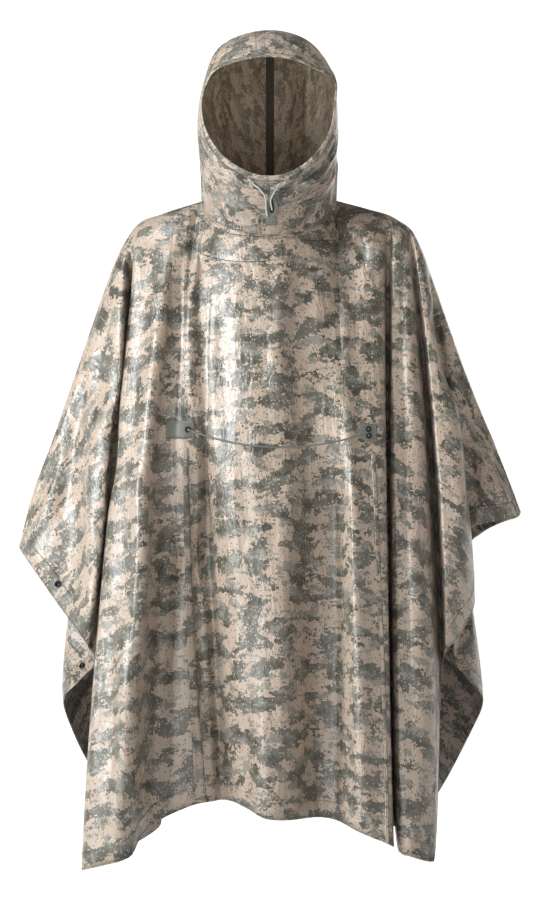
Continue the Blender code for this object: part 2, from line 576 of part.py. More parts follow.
def plate(name, outline, holes, thickness, colour, place):
    """Flat piece cut from an outline, with holes."""
    data = bpy.data.curves.new(name, "CURVE")
    data.dimensions = "2D"
    data.fill_mode = "BOTH"
    data.extrude = thickness / 2
    for ring in [outline] + list(holes):
        spline = data.splines.new("POLY")
        spline.points.add(len(ring) - 1)
        for slot, (x, y) in zip(spline.points, ring):
            slot.co = (x, y, 0, 1)
        spline.use_cyclic_u = True
    source = bpy.data.objects.new(name + "_outline", data)
    PARTS.objects.link(source)
    bpy.context.view_layer.update()
    mesh = bpy.data.meshes.new_from_object(source.evaluated_get(bpy.context.evaluated_depsgraph_get()))
    bpy.data.objects.remove(source)
    bm = bmesh.new()
    bm.from_mesh(mesh)
    bmesh.ops.remove_doubles(bm, verts=bm.verts, dist=0.00001)
    bmesh.ops.recalc_face_normals(bm, faces=bm.faces)
    bm.to_mesh(mesh)
    bm.free()
    ob = new_object(name, mesh, colour, 0.5)
    ob.matrix_world = place
    return ob


def round_outline(centre, radius_x, radius_y, count):
    """Oval of points in a plane."""
    return [(centre[0] + radius_x * math.cos(2 * math.pi * k / count),
             centre[1] + radius_y * math.sin(2 * math.pi * k / count)) for k in range(count)]


def make_hood_cord():
    """Eyelets, the two cord strands, the flat lock that they meet in and the tab that holds it."""
    starts = []
    for name, x in (("hood_eyelet_left", -0.029), ("hood_eyelet_right", 0.016)):
        point, n = hood_spot(x, 0.20)
        ring = turned(name, ring_profile(0.0022, 0.0042, EYELET_HEIGHT), METAL_COLOUR, frame_at(point, n))
        settle(ring, n, ("hood_left", "hood_right"))
        starts.append(ring.matrix_world.translation + Vector(n) * (EYELET_HEIGHT + GAP + HOOD_CORD_RADIUS))
    half = LOCK_SIZE[0] / 2
    tall = LOCK_SIZE[1] - half
    outline = [(half * math.cos(a), half * math.sin(a)) for a in np.linspace(-math.pi, 0, 11)]
    outline += [(half * 0.78, tall * 0.45), (half * 0.42, tall * 0.85), (half * 0.18, tall), (-half * 0.18, tall),
                (-half * 0.42, tall * 0.85), (-half * 0.78, tall * 0.45)]
    slot = round_outline((0.0, 0.004), 0.0028, 0.0080, 12)
    face = Matrix(((1, 0, 0), (0, 0, -1), (0, 1, 0))).to_4x4()
    face.translation = Vector(LOCK_PLACE)
    plate("hood_cord_lock", outline, [slot], LOCK_THICK, (0.42, 0.43, 0.40), face)
    for name, start, way in zip(("hood_drawcord_left", "hood_drawcord_right"), starts, (LEFT_STRAND, RIGHT_STRAND)):
        route = [tuple(start), *way]
        knots = np.linspace(0, 1, len(route))
        tube(name, hermite(knots, route, np.linspace(0, 1, 16)), HOOD_CORD_RADIUS, CORD_COLOUR)
    point, n = hood_spot(0.003, 0.80)
    tab = [(-0.0085, -0.007), (0.0085, -0.007), (0.0085, 0.007), (-0.0085, 0.007)]
    flat = plate("hood_cord_tab", tab, [], 0.0018, (0.30, 0.31, 0.29), frame_at(point, n))
    settle(flat, n, ("hood_left", "hood_right"))


def sub_cloth(name, body, first_x, last_x, first_t, last_t, colour):
    """Piece laid on the front: the panel's own points between two places and two drops, moved out."""
    places, drops, grid, n = body
    i0, i1 = int(np.argmin(np.abs(np.array(places) - first_x))), int(np.argmin(np.abs(np.array(places) - last_x)))
    j0, j1 = int(np.argmin(np.abs(drops - first_t))), int(np.argmin(np.abs(drops - last_t)))
    part = grid[i0:i1 + 1, j0:j1 + 1] + n[i0:i1 + 1, j0:j1 + 1] * (WALL / 2 + LIE + TRIM_WALL / 2)
    return cloth(name, part, colour, True, TRIM_WALL)


def surface_spot(folds, side, place, drop):
    """Point and outward normal of a body half."""
    step = 0.004
    grid = body_points(folds, side, [place - step, place, place + step], np.array([drop - step, drop, drop + step]))
    n = normals(grid)[1, 1]
    return grid[1, 1], (n if side > 0 else -n)


def waist_route():
    """Waist cord: it spans the hollows, rests on the ridges and sags between its grommets."""
    places = np.linspace(GROMMET_LEFT, GROMMET_RIGHT, 240)
    drop = sum(WAIST_DROPS) / 2
    line = body_points(FRONT_FOLDS, -1, places, np.array([0.0, drop]))[:, 1]
    keep = []
    for p in line:
        while len(keep) > 1:
            a, b = keep[-2], keep[-1]
            if (b[0] - a[0]) * (p[1] - a[1]) - (b[1] - a[1]) * (p[0] - a[0]) <= 0:
                keep.pop()
            else:
                break
        keep.append(p)
    keep = np.array(keep)
    x = np.linspace(line[0][0], line[-1][0], 34)
    y = np.interp(x, keep[:, 0], keep[:, 1]) - WALL / 2 - TRIM_WALL - WAIST_CORD_RADIUS - WAIST_CLEAR
    f = (x - x[0]) / (x[-1] - x[0])
    ends = np.minimum(x - x[0], x[-1] - x) / WAIST_END_RUN
    y -= WAIST_END_LIFT * np.clip(1 - ends, 0, 1)
    z = np.interp(f, (0, 1), (line[0][2], line[-1][2])) - WAIST_SAG * 4 * f * (1 - f)
    return np.stack([x, y, z], axis=1)


def make_waist(front):
    """Patches, grommets and the cord between them."""
    first_t, last_t = WAIST_DROPS
    middle = (first_t + last_t) / 2
    sub_cloth("waist_patch_left", front, *PATCH_LEFT, first_t, last_t, PATCH_COLOUR)
    sub_cloth("waist_patch_right", front, *PATCH_RIGHT, first_t, last_t, PATCH_COLOUR)
    for name, patch, place, drop in (
        ("waist_grommet_left", "waist_patch_left", GROMMET_LEFT, middle),
        ("waist_grommet_right_upper", "waist_patch_right", GROMMET_RIGHT, middle - GROMMET_APART),
        ("waist_grommet_right_lower", "waist_patch_right", GROMMET_RIGHT, middle + GROMMET_APART),
    ):
        point, n = surface_spot(FRONT_FOLDS, -1, place, drop)
        ring = turned(name, ring_profile(0.0026, GROMMET_RADIUS, 0.0012), METAL_COLOUR, frame_at(point, n))
        settle(ring, n, (patch, "front_body"))
    tube("waist_drawcord", waist_route(), WAIST_CORD_RADIUS, CORD_COLOUR)


def facet_spot(body, side, place, drop):
    """Point on the panel's own facet nearest a place and drop, with the facet's outward normal."""
    places, drops, grid, _ = body
    folds = FRONT_FOLDS if side < 0 else BACK_FOLDS
    aim = body_points(folds, side, [place, place + 0.001], np.array([drop, 1.0]))[0, 0]
    best = None
    for i in range(len(places) - 1):
        for j in range(len(drops) - 1):
            a, b, c, d = grid[i, j], grid[i + 1, j], grid[i + 1, j + 1], grid[i, j + 1]
            for tri in ((a, b, c), (a, c, d)):
                far = float(np.linalg.norm(sum(tri) / 3 - aim))
                if best is None or far < best[0]:
                    n = np.cross(tri[1] - tri[0], tri[2] - tri[0])
                    best = (far, tri[0], side * n / np.linalg.norm(n))
    _, corner, n = best
    return aim - n * float(np.dot(aim - corner, n)), n


def make_snaps(body):
    """Snap caps on the side hems."""
    for name, side, place, drop in SNAPS:
        point, n = facet_spot(body["front_body" if side < 0 else "back_body"], side, place, drop)
        cap = snap(name, SNAP_PROFILE, frame_at(point, n))
        settle(cap, n, ("front_body" if side < 0 else "back_body",))


def snap(name, profile, place):
    """Snap cap with a raised rim, turned on the axis."""
    bm = bmesh.new()
    verts = [bm.verts.new((r, 0, z)) for r, z in profile]
    edges = [bm.edges.new((a, b)) for a, b in zip(verts, verts[1:])]
    bottom = [bm.edges.new((verts[-1], verts[0]))]
    bmesh.ops.spin(bm, geom=verts + edges + bottom, cent=(0, 0, 0), axis=(0, 0, 1), angle=2 * math.pi,
                   steps=16, use_merge=True)
    bmesh.ops.remove_doubles(bm, verts=bm.verts, dist=0.00002)
    bmesh.ops.dissolve_degenerate(bm, edges=bm.edges, dist=0.00001)
    loose = [e for e in bm.edges if not e.link_faces]
    bmesh.ops.delete(bm, geom=loose, context="EDGES")
    inner = [f for f in bm.faces if f.calc_area() < 1e-12]
    bmesh.ops.delete(bm, geom=inner, context="FACES")
    bmesh.ops.recalc_face_normals(bm, faces=bm.faces)
    mesh = bpy.data.meshes.new(name)
    bm.to_mesh(mesh)
    bm.free()
    ob = new_object(name, mesh, METAL_COLOUR, 0.3, 1.0)
    ob.matrix_world = place
    return ob


def main():
    """Makes every piece of the poncho."""
    body = make_body()
    front = body["front_body"]
    for name, place in (("front_seam_left", SEAM_LEFT), ("front_seam_right", SEAM_RIGHT)):
        sub_cloth(name, front, place - SEAM_HALF, place + SEAM_HALF, SEAM_TOP, 1.0, CLOTH_COLOUR)
    make_hood()
    make_hood_cord()
    make_waist(front)
    make_snaps(body)


for old in list(bpy.data.objects):
    bpy.data.objects.remove(old)
PARTS = bpy.data.collections.new("rain_poncho")
bpy.context.scene.collection.children.link(PARTS)
main()
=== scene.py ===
"""Looks of the hooded rain poncho: coated pixel-camouflage cloth, its seams, stitches, cords and snaps.

Metres, +Z up, the front faces -Y; the origin is the centre of the neck at the height of the shoulder fold.
Side -1 is the body's front half, or the hood panel at the left of who looks at the front; side 1 is the other.
Places run along a cloth's top edge or round the face opening, drops from there (0) down to the hem or neck (1).
"""

import math
from collections import namedtuple

import bmesh
import bpy
import numpy as np
from mathutils import Matrix, Vector, kdtree, noise
from mathutils.bvhtree import BVHTree


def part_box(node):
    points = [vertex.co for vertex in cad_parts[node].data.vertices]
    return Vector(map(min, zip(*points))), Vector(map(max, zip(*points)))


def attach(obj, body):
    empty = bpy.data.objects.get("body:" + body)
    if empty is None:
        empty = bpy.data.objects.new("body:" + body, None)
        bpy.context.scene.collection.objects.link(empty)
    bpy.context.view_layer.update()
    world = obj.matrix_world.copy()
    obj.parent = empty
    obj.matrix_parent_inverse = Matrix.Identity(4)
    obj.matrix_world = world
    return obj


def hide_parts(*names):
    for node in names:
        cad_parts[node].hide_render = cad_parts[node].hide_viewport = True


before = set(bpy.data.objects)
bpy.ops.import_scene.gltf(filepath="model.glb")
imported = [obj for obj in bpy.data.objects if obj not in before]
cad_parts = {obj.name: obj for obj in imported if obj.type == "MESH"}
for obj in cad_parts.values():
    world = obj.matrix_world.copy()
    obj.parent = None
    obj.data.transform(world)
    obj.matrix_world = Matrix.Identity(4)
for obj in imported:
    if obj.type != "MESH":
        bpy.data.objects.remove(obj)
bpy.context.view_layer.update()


def metres(value):
    """A size in millimetres, or rows of them, in metres; names are left alone."""
    if isinstance(value, str):
        return value
    if isinstance(value, tuple):
        return tuple(metres(part) for part in value)
    return round(value / 1000, 8)


def rows_of(kind, rows):
    """A table's rows under its columns' names; sizes are given in millimetres and shares in thousandths."""
    return tuple(kind(*metres(row)) for row in rows)


# Curves: how steep a tight one may get beside its gentler neighbour; far away, outside the poncho, next to nothing
TIGHT_SLOPE = 2.6
FAR = 10.0
OUTSIDE = 0.6
TINY = 1e-9

# Cloth and gaps of the solids, which the cords' routes are worked out from
WALL = 0.0020
GAP = 0.0003
TRIM_WALL = 0.0014

# Neck seam: half width, depth forward and back, how far it dips in front and behind, room round it
NECK_HALF = 0.108
NECK_FRONT = 0.112
NECK_BACK = 0.092
NECK_TOP = 0.020
NECK_DIP_FRONT = 0.060
NECK_DIP_BACK = 0.008
NECK_DIP_POWER = 0.8
NECK_CLEAR = 0.0010
NECK_CLEAR_FADES = 0.02

# Shoulder fold seen from the front: x, z, and the radius of the cloth over it
Shoulder = namedtuple("Shoulder", "x z roll")
SHOULDER_FOLD = rows_of(Shoulder, (
    (-414, -553, 2), (-398, -488, 4), (-357, -371, 10), (-324, -276, 16), (-290, -178, 24), (-266, -110, 32),
    (-248, -66, 40), (-224, -26, 44), (-177, -2, 42), (-128, 14, 32), (-108, 20, 0), (108, 20, 0), (128, 15, 32),
    (158, 7, 40), (211, -12, 44), (237, -34, 42), (250, -60, 38), (266, -104, 32), (296, -190, 24), (327, -276, 16),
    (366, -371, 10), (392, -436, 4), (414, -495, 2),
))
SHOULDER_X, SHOULDER_Z, SHOULDER_ROLL = zip(*SHOULDER_FOLD)
ROLL_ENDS = 0.075

# Fold lines: name, x on the top edge, then the cubic's outer handle (from the top), its lower handle and its end
Fold = namedtuple("Fold", "name top_x leave arrive end")
FRONT_FOLDS = rows_of(Fold, (
    ("left tip", -413.5, (1, -1, -2), (-411, -4, -556), (-409, -6, -559)),
    ("left wing hem", -398, (3, -18, -40), (-394, -32, -555), (-385, -36, -590)),
    ("left wing outer", -365, (6, -30, -80), (-366, -58, -560), (-356, -52, -630)),
    ("left wing middle", -325, (8, -36, -110), (-326, -72, -570), (-332, -60, -662)),
    ("left wing inner", -288, (10, -44, -130), (-272, -92, -560), (-300, -84, -702)),
    ("left wing root", -244, (10, -40, -160), (-222, -78, -560), (-262, -80, -780)),
    ("left pleat back", -232, (22, -10, -180), (-160, -40, -620), (-176, -62, -980)),
    ("left pleat turn", -227, (18, -26, -200), (-164, -62, -640), (-178, -82, -1000)),
    ("left pleat under", -221, (-8, -52, -220), (-270, -98, -700), (-288, -120, -1062)),
    ("left pleat lip", -216, (-20, -76, -240), (-290, -125, -700), (-303, -148, -1067)),
    ("left strip edge", -209, (-18, -94, -250), (-284, -148, -700), (-298, -172, -1064)),
    ("left strip face", -197, (-12, -110, -250), (-256, -168, -700), (-266, -190, -1055)),
    ("left strip ridge", -180, (-4, -125, -250), (-226, -185, -700), (-225, -202, -1041)),
    ("left strip wall", -160, (-6, -120, -250), (-198, -150, -700), (-208, -160, -1014)),
    ("left hollow", -140, (-10, -118, -260), (-184, -130, -700), (-180, -122, -990)),
    ("left seam", -118, (-36, -148, -275), (-128, -158, -700), (-110, -138, -961)),
    ("left valley", -85, (-22, -80, -220), (-96, -150, -700), (-70, -140, -957)),
    ("middle ridge foot", -48, (-14, -65, -220), (-56, -182, -680), (-40, -166, -966)),
    ("middle ridge", -12, (-4, -60, -220), (-12, -200, -680), (-6, -200, -980)),
    ("middle ridge side", 26, (4, -64, -220), (28, -184, -680), (34, -186, -983)),
    ("right hollow", 60, (12, -70, -220), (74, -156, -680), (74, -146, -983)),
    ("right ridge foot", 88, (22, -85, -230), (108, -172, -690), (106, -164, -987)),
    ("right ridge", 118, (14, -150, -262), (134, -202, -700), (138, -198, -1000)),
    ("right seam", 150, (6, -144, -255), (186, -190, -720), (188, -198, -1020)),
    ("right pleat lip", 184, (3, -108, -240), (187, -170, -700), (198, -186, -1025)),
    ("right pleat under", 189, (-2, -56, -220), (187, -130, -700), (195, -150, -1022)),
    ("right pleat turn", 193, (-4, -34, -200), (187, -94, -700), (197, -112, -1000)),
    ("right pleat back", 197, (-5, -32, -200), (191.5, -94, -700), (201.5, -112, -1000)),
    ("right panel edge", 203, (-9, -90, -225), (196, -160, -700), (206.2, -180, -1034)),
    ("right panel", 212, (-1, -98, -230), (222, -172, -700), (225, -190, -1041)),
    ("right corner", 222, (18, -82, -220), (273.5, -152, -660), (263, -152, -1053)),
    ("right valley", 229, (21, -26, -180), (280.5, -56, -540), (279, -100, -745)),
    ("roll foot", 233, (24, -64, -160), (286, -142, -520), (285, -128, -715)),
    ("roll front", 239, (24, -66, -150), (314, -142, -490), (303, -114, -697)),
    ("roll middle", 247, (22, -56, -140), (330, -122, -460), (324, -92, -661)),
    ("roll side", 255, (16, -34, -130), (334, -74, -450), (334, -58, -634)),
    ("roll back", 265, (2, -14, -120), (284, -22, -440), (308, -24, -560)),
    ("right wing inner", 290, (-2, -20, -90), (302, -40, -440), (326, -34, -524)),
    ("right wing middle", 326, (-4, -24, -70), (342, -46, -440), (352, -44, -511)),
    ("right wing outer", 368, (-4, -20, -40), (382, -36, -460), (385, -34, -507)),
    ("right wing hem", 397, (-1, -10, -14), (404, -16, -486), (404, -14, -503)),
    ("right tip", 413.5, (-1, -1, -1), (412, -4, -497), (411, -5, -499)),
))
BACK_FOLDS = rows_of(Fold, (
    ("left tip", -413.5, (1, 1, -2), (-411, 5, -556), (-408, 8, -560)),
    ("left wing hem", -398, (3, 18, -40), (-388, 34, -555), (-371, 24, -598)),
    ("left wing outer", -365, (4, 34, -80), (-358, 50, -560), (-336, 8, -646)),
    ("left curl top", -325, (4, 50, -110), (-345, 85, -620), (-296, -26, -680)),
    ("left curl front", -295, (2, 66, -130), (-360, 85, -660), (-279, -46, -730)),
    ("left curl middle", -276, (0, 80, -140), (-374, 75, -720), (-311, -44, -768)),
    ("left curl side", -262, (0, 92, -150), (-362, 95, -740), (-340, -10, -806)),
    ("left curl foot", -250, (0, 104, -160), (-330, 110, -760), (-326, 44, -862)),
    ("left edge", -238, (4, 112, -180), (-290, 130, -760), (-300, 86, -922)),
    ("left corner", -222, (6, 116, -200), (-250, 145, -760), (-244, 122, -1024)),
    ("left back ridge", -196, (2, 126, -220), (-214, 176, -720), (-214, 184, -1022)),
    ("left back valley", -158, (-2, 122, -230), (-172, 148, -700), (-176, 140, -998)),
    ("left back pleat lip", -124, (-6, 126, -230), (-142, 188, -700), (-150, 204, -990)),
    ("left back pleat back", -112, (8, 92, -220), (-94, 138, -700), (-104, 146, -984)),
    ("middle back left", -86, (-8, 60, -200), (-98, 176, -700), (-90, 188, -976)),
    ("middle back ridge", -50, (-6, 60, -200), (-52, 200, -700), (-46, 214, -972)),
    ("middle back hollow", -8, (0, 56, -200), (-2, 172, -700), (0, 174, -966)),
    ("middle back right", 36, (4, 58, -200), (44, 186, -700), (48, 198, -968)),
    ("right back ridge", 78, (10, 66, -210), (94, 200, -700), (96, 214, -974)),
    ("right back valley", 116, (8, 112, -220), (136, 152, -700), (142, 150, -982)),
    ("right back face", 152, (6, 124, -230), (172, 180, -700), (180, 188, -1000)),
    ("right back side", 186, (4, 120, -220), (212, 160, -720), (214, 158, -1014)),
    ("right corner", 214, (-2, 110, -200), (240, 135, -720), (240, 110, -1018)),
    ("right edge", 228, (-2, 104, -180), (284, 130, -720), (286, 90, -958)),
    ("right curl foot", 240, (0, 96, -160), (336, 120, -740), (334, 62, -862)),
    ("right curl side", 252, (2, 86, -150), (356, 100, -700), (352, 10, -806)),
    ("right curl middle", 262, (4, 76, -140), (362, 85, -660), (326, -34, -768)),
    ("right curl front", 274, (4, 64, -120), (338, 100, -600), (302, -44, -730)),
    ("right curl top", 290, (0, 52, -90), (336, 95, -500), (299, -10, -640)),
    ("right wing inner", 312, (-2, 46, -80), (322, 56, -450), (327, 36, -556)),
    ("right wing middle", 340, (-2, 36, -60), (350, 50, -460), (350, 36, -530)),
    ("right wing outer", 376, (-2, 24, -30), (384, 30, -470), (384, 22, -511)),
    ("right wing hem", 398, (-1, 10, -12), (404, 14, -490), (403, 11, -504)),
    ("right tip", 413.5, (-1, 1, -1), (412, 5, -497), (411, 6, -499)),
))
FOLDS = {-1: FRONT_FOLDS, 1: BACK_FOLDS}
FOLD_APART_LEAST = 0.3
FOLD_APART_PER_METRE = 100

# Hood panels: name, place from the crown seam to the throat, then points from the face down towards the neck seam
Section = namedtuple("Section", "name place points")
HOOD_SECTIONS = rows_of(Section, (
    ("crown", 0, ((0, -135, 243), (0, -66, 293), (0, 28, 300), (0, 108, 226), (0, 116, 108))),
    ("brim", 200, ((72, -131, 227), (78, -64, 268), (80, 22, 268), (74, 90, 200), (68, 96, 96))),
    ("temple", 420, ((113, -110, 180), (117, -62, 186), (118, 0, 172), (115, 34, 130), (109, 36, 74))),
    ("cheek", 620, ((103, -106, 120), (114, -78, 108), (116, -60, 88), (112, -51, 60), (106, -45, 26))),
    ("jaw", 820, ((59, -118, 71), (67, -119, 57), (71, -119, 39), (70, -116, 18), (65, -109, -4))),
    ("throat", 1000, ((0, -127, 52), (0, -134, 34), (0, -136, 16), (0, -134, -2), (0, -127, -20))),
))
HOOD_WIDTH = {-1: 0.972, 1: 0.912}
HOOD_OUTSIDE = 0.0012
HOOD_BELOW = 0.0010
HOOD_END_SLOPE = 1.25
HOOD_MIDDLE = (0, 0, 0.12)
CROWN_SETTLES = 0.005
CROWN_FROM = 0.24
CROWN_OVER = 0.06
CROWN_DROP = 0.15
TAPE_WIDTH = 0.0135
TAPE_INSET = 0.0006
TAPE_LINES = 7
TAPE_COLUMNS = 3
TAPE_REACH = 1e-6
TAPE_THICK = 0.0007

# Waist and seams: places are x on the top edge, drops are shares of the way to the hem
WAIST_DROPS = (0.375, 0.402)
SEAM_TOP = 0.416
SEAM_END = 0.9995
SEAM_LIFT = 0.0002
SEAM_THICK = 0.0006
PATCHES = {"left": (-0.151, -0.1055), "right": (0.131, 0.158)}
PATCH_LIFT = 0.0008
PATCH_THICK = 0.0010
GROMMET_LEFT = -0.115
GROMMET_RIGHT = 0.143
SEAM_PLACES = {"left": -0.118, "right": 0.150}
SEAM_HALF = 0.0036
WAIST_CORD_RADIUS = 0.0014
WAIST_SAG = 0.026
WAIST_CLEAR = 0.0016
WAIST_END_LIFT = 0.0007
WAIST_END_RUN = 0.016
WAIST_POINTS = 34
WAIST_LOOKS = 240

# Hood cord, from each eyelet to the lock, and the lock
HOOD_CORD_RADIUS = 0.0013
STRANDS = {"left": metres((
    (-29.16, -135.17, 39.64), (-18.2, -140.5, 30.2), (-9.2, -141.4, 19.5), (-6.6, -141.8, 8.0), (-6.0, -141.8, -4.0),
    (-4.0, -141.4, -15.0),
)), "right": metres((
    (16.28, -136.67, 36.55), (12.0, -140.5, 32.5), (7.8, -141.3, 26.2), (3.6, -141.8, 18.0), (1.0, -141.9, 9.5),
    (3.4, -141.9, -5.0),
))}
STRAND_POINTS = 24
LOCK_SPREAD = 1.14
LOCK_ARC_POINTS = 17
LOCK_OUTLINE = ((0.93, 0.22), (0.70, 0.50), (0.44, 0.80), (0.22, 1.0))
LOCK_THICK = 0.0022
LOCK_SLOT = (0.34, 0.62)
# Black face in the slot, painted shadow: its size as shares, then the slot's rise, and how deep the face sits
LOCK_SLOT_SHADOW = (0.36, 0.64)
LOCK_SLOT_RISE = 0.002
LOCK_SLOT_SHADOW_DEPTH = 0.0006
LOCK_ROUND = 0.0005
SHARP_ANGLE = 1.0
TAB_POINTS = 9
TAB_LIFT = 0.0012
TAB_THICK = 0.0016

# Turned fittings, as (radius, height) in millimetres
SNAP_CAP = metres(((0, 0), (0, 0.6), (1.9, 0.5), (2.4, 1.0), (3.0, 2.2), (4.0, 2.6), (5.0, 2.2), (5.6, 1.2),
                   (5.6, 0)))
GROMMET_RING = metres(((2.6, 0), (2.6, 0.8), (3.1, 1.3), (4.0, 1.3), (4.8, 0.8), (5.0, 0)))
EYELET_SHARE = 0.85
TURNED_STEPS = 40

# Cloth as it shows
CLOTH_THICK = 0.0009
BODY_COLUMN = 0.0116
BODY_ROWS = 82
TOP_CROWD = 1.45
HOOD_COLUMNS = 96
HOOD_ROWS = 104
RIM_CROWD = 1.2
WELD = 0.00002
HEM_SIDE = 0.027
HEM_EDGE = 0.0030
NECK_STITCHES = (0.0030, 0.0095)
STITCH_LONG = 0.0030
STITCH_PITCH = 0.0042
STITCH_THICK = 0.0007
STITCH_FLAT = 0.7
STITCH_STANDS = 0.2
SEAM_STITCHES_APART = 0.0040
SEAM_STITCHES_END = 0.999
CROWN_STITCH_COLUMNS = (2, 5)
CASING_STITCH_ROWS = 8
CASING_STITCHES_DOWN = 0.0105
CASING_STITCHES_LIFT = 0.0004
SEAM_EDGE_RADIUS = 0.0006
SEAM_EDGE_LIFT = 0.0001
SEAM_LINE_STEP = 0.002
LINE_POINTS = 160
STRIP_PER_METRE = 900
STRIP_PER_DROP = 180

# Springs that lay the cloth flat, for its pattern
SPRING = 0.12
SPRING_KEEPS = 0.97
BODY_ROUNDS = 900
HOOD_ROUNDS = 400
HOOD_FLAT_PLACE = (1.5, 3.0)
UPRIGHT_FROM = 6
UPRIGHT_TO = -2
RIM_APART = 3.7

# Camera: level, six metres in front, with the photo's framing
VIEW_HEIGHT = -0.391
VIEW_AWAY = 6.0
VIEW_TALL = 1.485
SENSOR = 36.0

# Studio: floor, area lights, and the walls' grey from below (-1) to above (1)
FLOOR_HEIGHT = -1.42
FLOOR_RADIUS = 90.0
FLOOR_SWEEP = (1.7, 2.4)
FLOOR_GREY = (0.66, 0.66, 0.66)
FLOOR_GLOW = 0.12
FLOOR_TINT = (1.0, 0.97, 0.94, 1)
Light = namedtuple("Light", "name place aim power size colour")
LIGHTS = tuple(map(Light._make, (
    ("key", (-4.9, -2.25, 1.1), (0.0, 0.0, -0.6), 282.0, (1.0, 1.6), (0.95, 0.98, 1.0)),
    ("left_strip", (-2.6, -3.0, -0.5), (-0.1, 0.0, -0.6), 42.0, (0.25, 2.6), (0.92, 0.97, 1.0)),
    ("right_strip", (2.4, -3.4, -0.4), (0.1, 0.0, -0.6), 1.0, (0.2, 2.6), (0.92, 0.97, 1.0)),
    ("top", (-1.0, -0.9, 2.6), (-0.05, 0.0, -0.1), 60.0, (1.0, 1.0), (0.96, 0.98, 1.0)),
    ("back", (1.6, 4.4, 0.6), (0.0, 0.0, -0.5), 12.0, (1.6, 1.6), (1.0, 1.0, 1.0)),
)))
WALL_GREYS = ((-0.50, 0.30), (-0.14, 1.0), (0.13, 1.0), (0.20, 0.07))
WALL_TINT = (1.0, 0.96, 0.91)
WALL_STRENGTH = 1.22

# Creases pressed into the body: both ends as x and z, half width, depth (ridges above 0)
Crease = namedtuple("Crease", "x z end_x end_z half depth")
CREASES = {-1: rows_of(Crease, (
    (-168, -60, -194, -380, 10, 6), (-122, -40, -130, -345, 12, 8), (-102, -180, -108, -350, 10, -3),
    (-94, -120, -95, -600, 4, 2.2), (-72, -160, -74, -440, 10, -4), (14, -60, 22, -360, 13, 9),
    (44, -50, 52, -440, 18, -11), (84, -80, 98, -440, 18, 6), (126, -30, 166, -98, 9, -9.2),
    (136, -16, 178, -76, 7, 5.4), (128, -70, 146, -140, 8, -5.4), (158, -30, 176, -52, 6, 4.2),
    (-140, -52, -106, -76, 5, -2.2), (-106, -76, -40, -90, 5, -2), (-40, -90, 20, -86, 5, -1.6),
    (-30, -400, 12, -452, 6, 2.4), (-56, -392, -16, -424, 5, 1.4), (16, -470, 60, -512, 6, -2.4),
    (-10, -120, -50, -150, 5, 1.6), (-8, -205, -52, -235, 5, 1.5), (-75, -445, 85, -440, 4, -1.4),
    (-80, -452, 80, -449, 3, 1.2), (-206, -400, -212, -720, 10, 7), (-256, -620, -262, -980, 12, -7.1),
    (-222, -660, -240, -1000, 13, 7.6), (-160, -460, -166, -860, 12, -3), (-50, -420, -46, -860, 10, 3.6),
    (-26, -460, -14, -820, 8, -2.6), (24, -340, 20, -950, 14, 10), (60, -440, 64, -920, 14, -3.4),
    (-106, -440, -108, -900, 14, -8), (166, -550, 174, -960, 8, -4), (216, -60, 246, -520, 10, 3.4),
    (204, -120, 220, -440, 9, -3.4), (236, -500, 250, -860, 10, 3.4), (218, -600, 226, -980, 9, -3.6),
    (290, -260, 318, -560, 10, 7.6), (266, -140, 292, -340, 9, -6.3), (316, -340, 350, -500, 12, -6.7),
    (340, -360, 386, -490, 12, 6.3), (-262, -140, -318, -420, 12, 7.1), (-290, -240, -350, -520, 14, -7.1),
    (-270, -300, -300, -600, 12, 8.4), (-330, -360, -372, -540, 12, 5.9), (-246, -200, -268, -500, 9, -7.6),
    (300, -560, 326, -640, 8, 3.6), (284, -620, 318, -670, 7, -3.3),
)), 1: rows_of(Crease, (
    (-180, -60, -198, -520, 14, 9.2), (-130, -80, -136, -440, 13, -8.4), (-72, -60, -78, -600, 14, 8.8),
    (-30, -80, -28, -480, 14, -8.4), (18, -50, 24, -420, 13, 8.4), (62, -100, 70, -560, 14, -8.4),
    (106, -60, 118, -400, 12, 8), (160, -80, 176, -500, 14, -8), (200, -120, 224, -600, 13, 8.4),
    (262, -200, 312, -500, 13, -7.6), (300, -240, 352, -480, 12, 7.1), (-252, -200, -300, -540, 13, -7.6),
    (-292, -240, -350, -520, 13, 7.1), (-100, -560, -104, -940, 14, 8.4), (-20, -540, -12, -920, 15, -9.2),
    (76, -600, 88, -950, 14, 8.8), (150, -560, 160, -960, 13, -8), (-206, -600, -222, -960, 13, 8.4),
    (-60, -452, 100, -446, 4, -1.4), (20, -300, 72, -350, 6, 2.7), (-90, -220, -40, -262, 6, -2.7),
    (-46, -640, 10, -700, 7, 2.7),
))}
CREASE_ENDS = (0.22, 0.30)
CREASE_WANDERS = 0.35

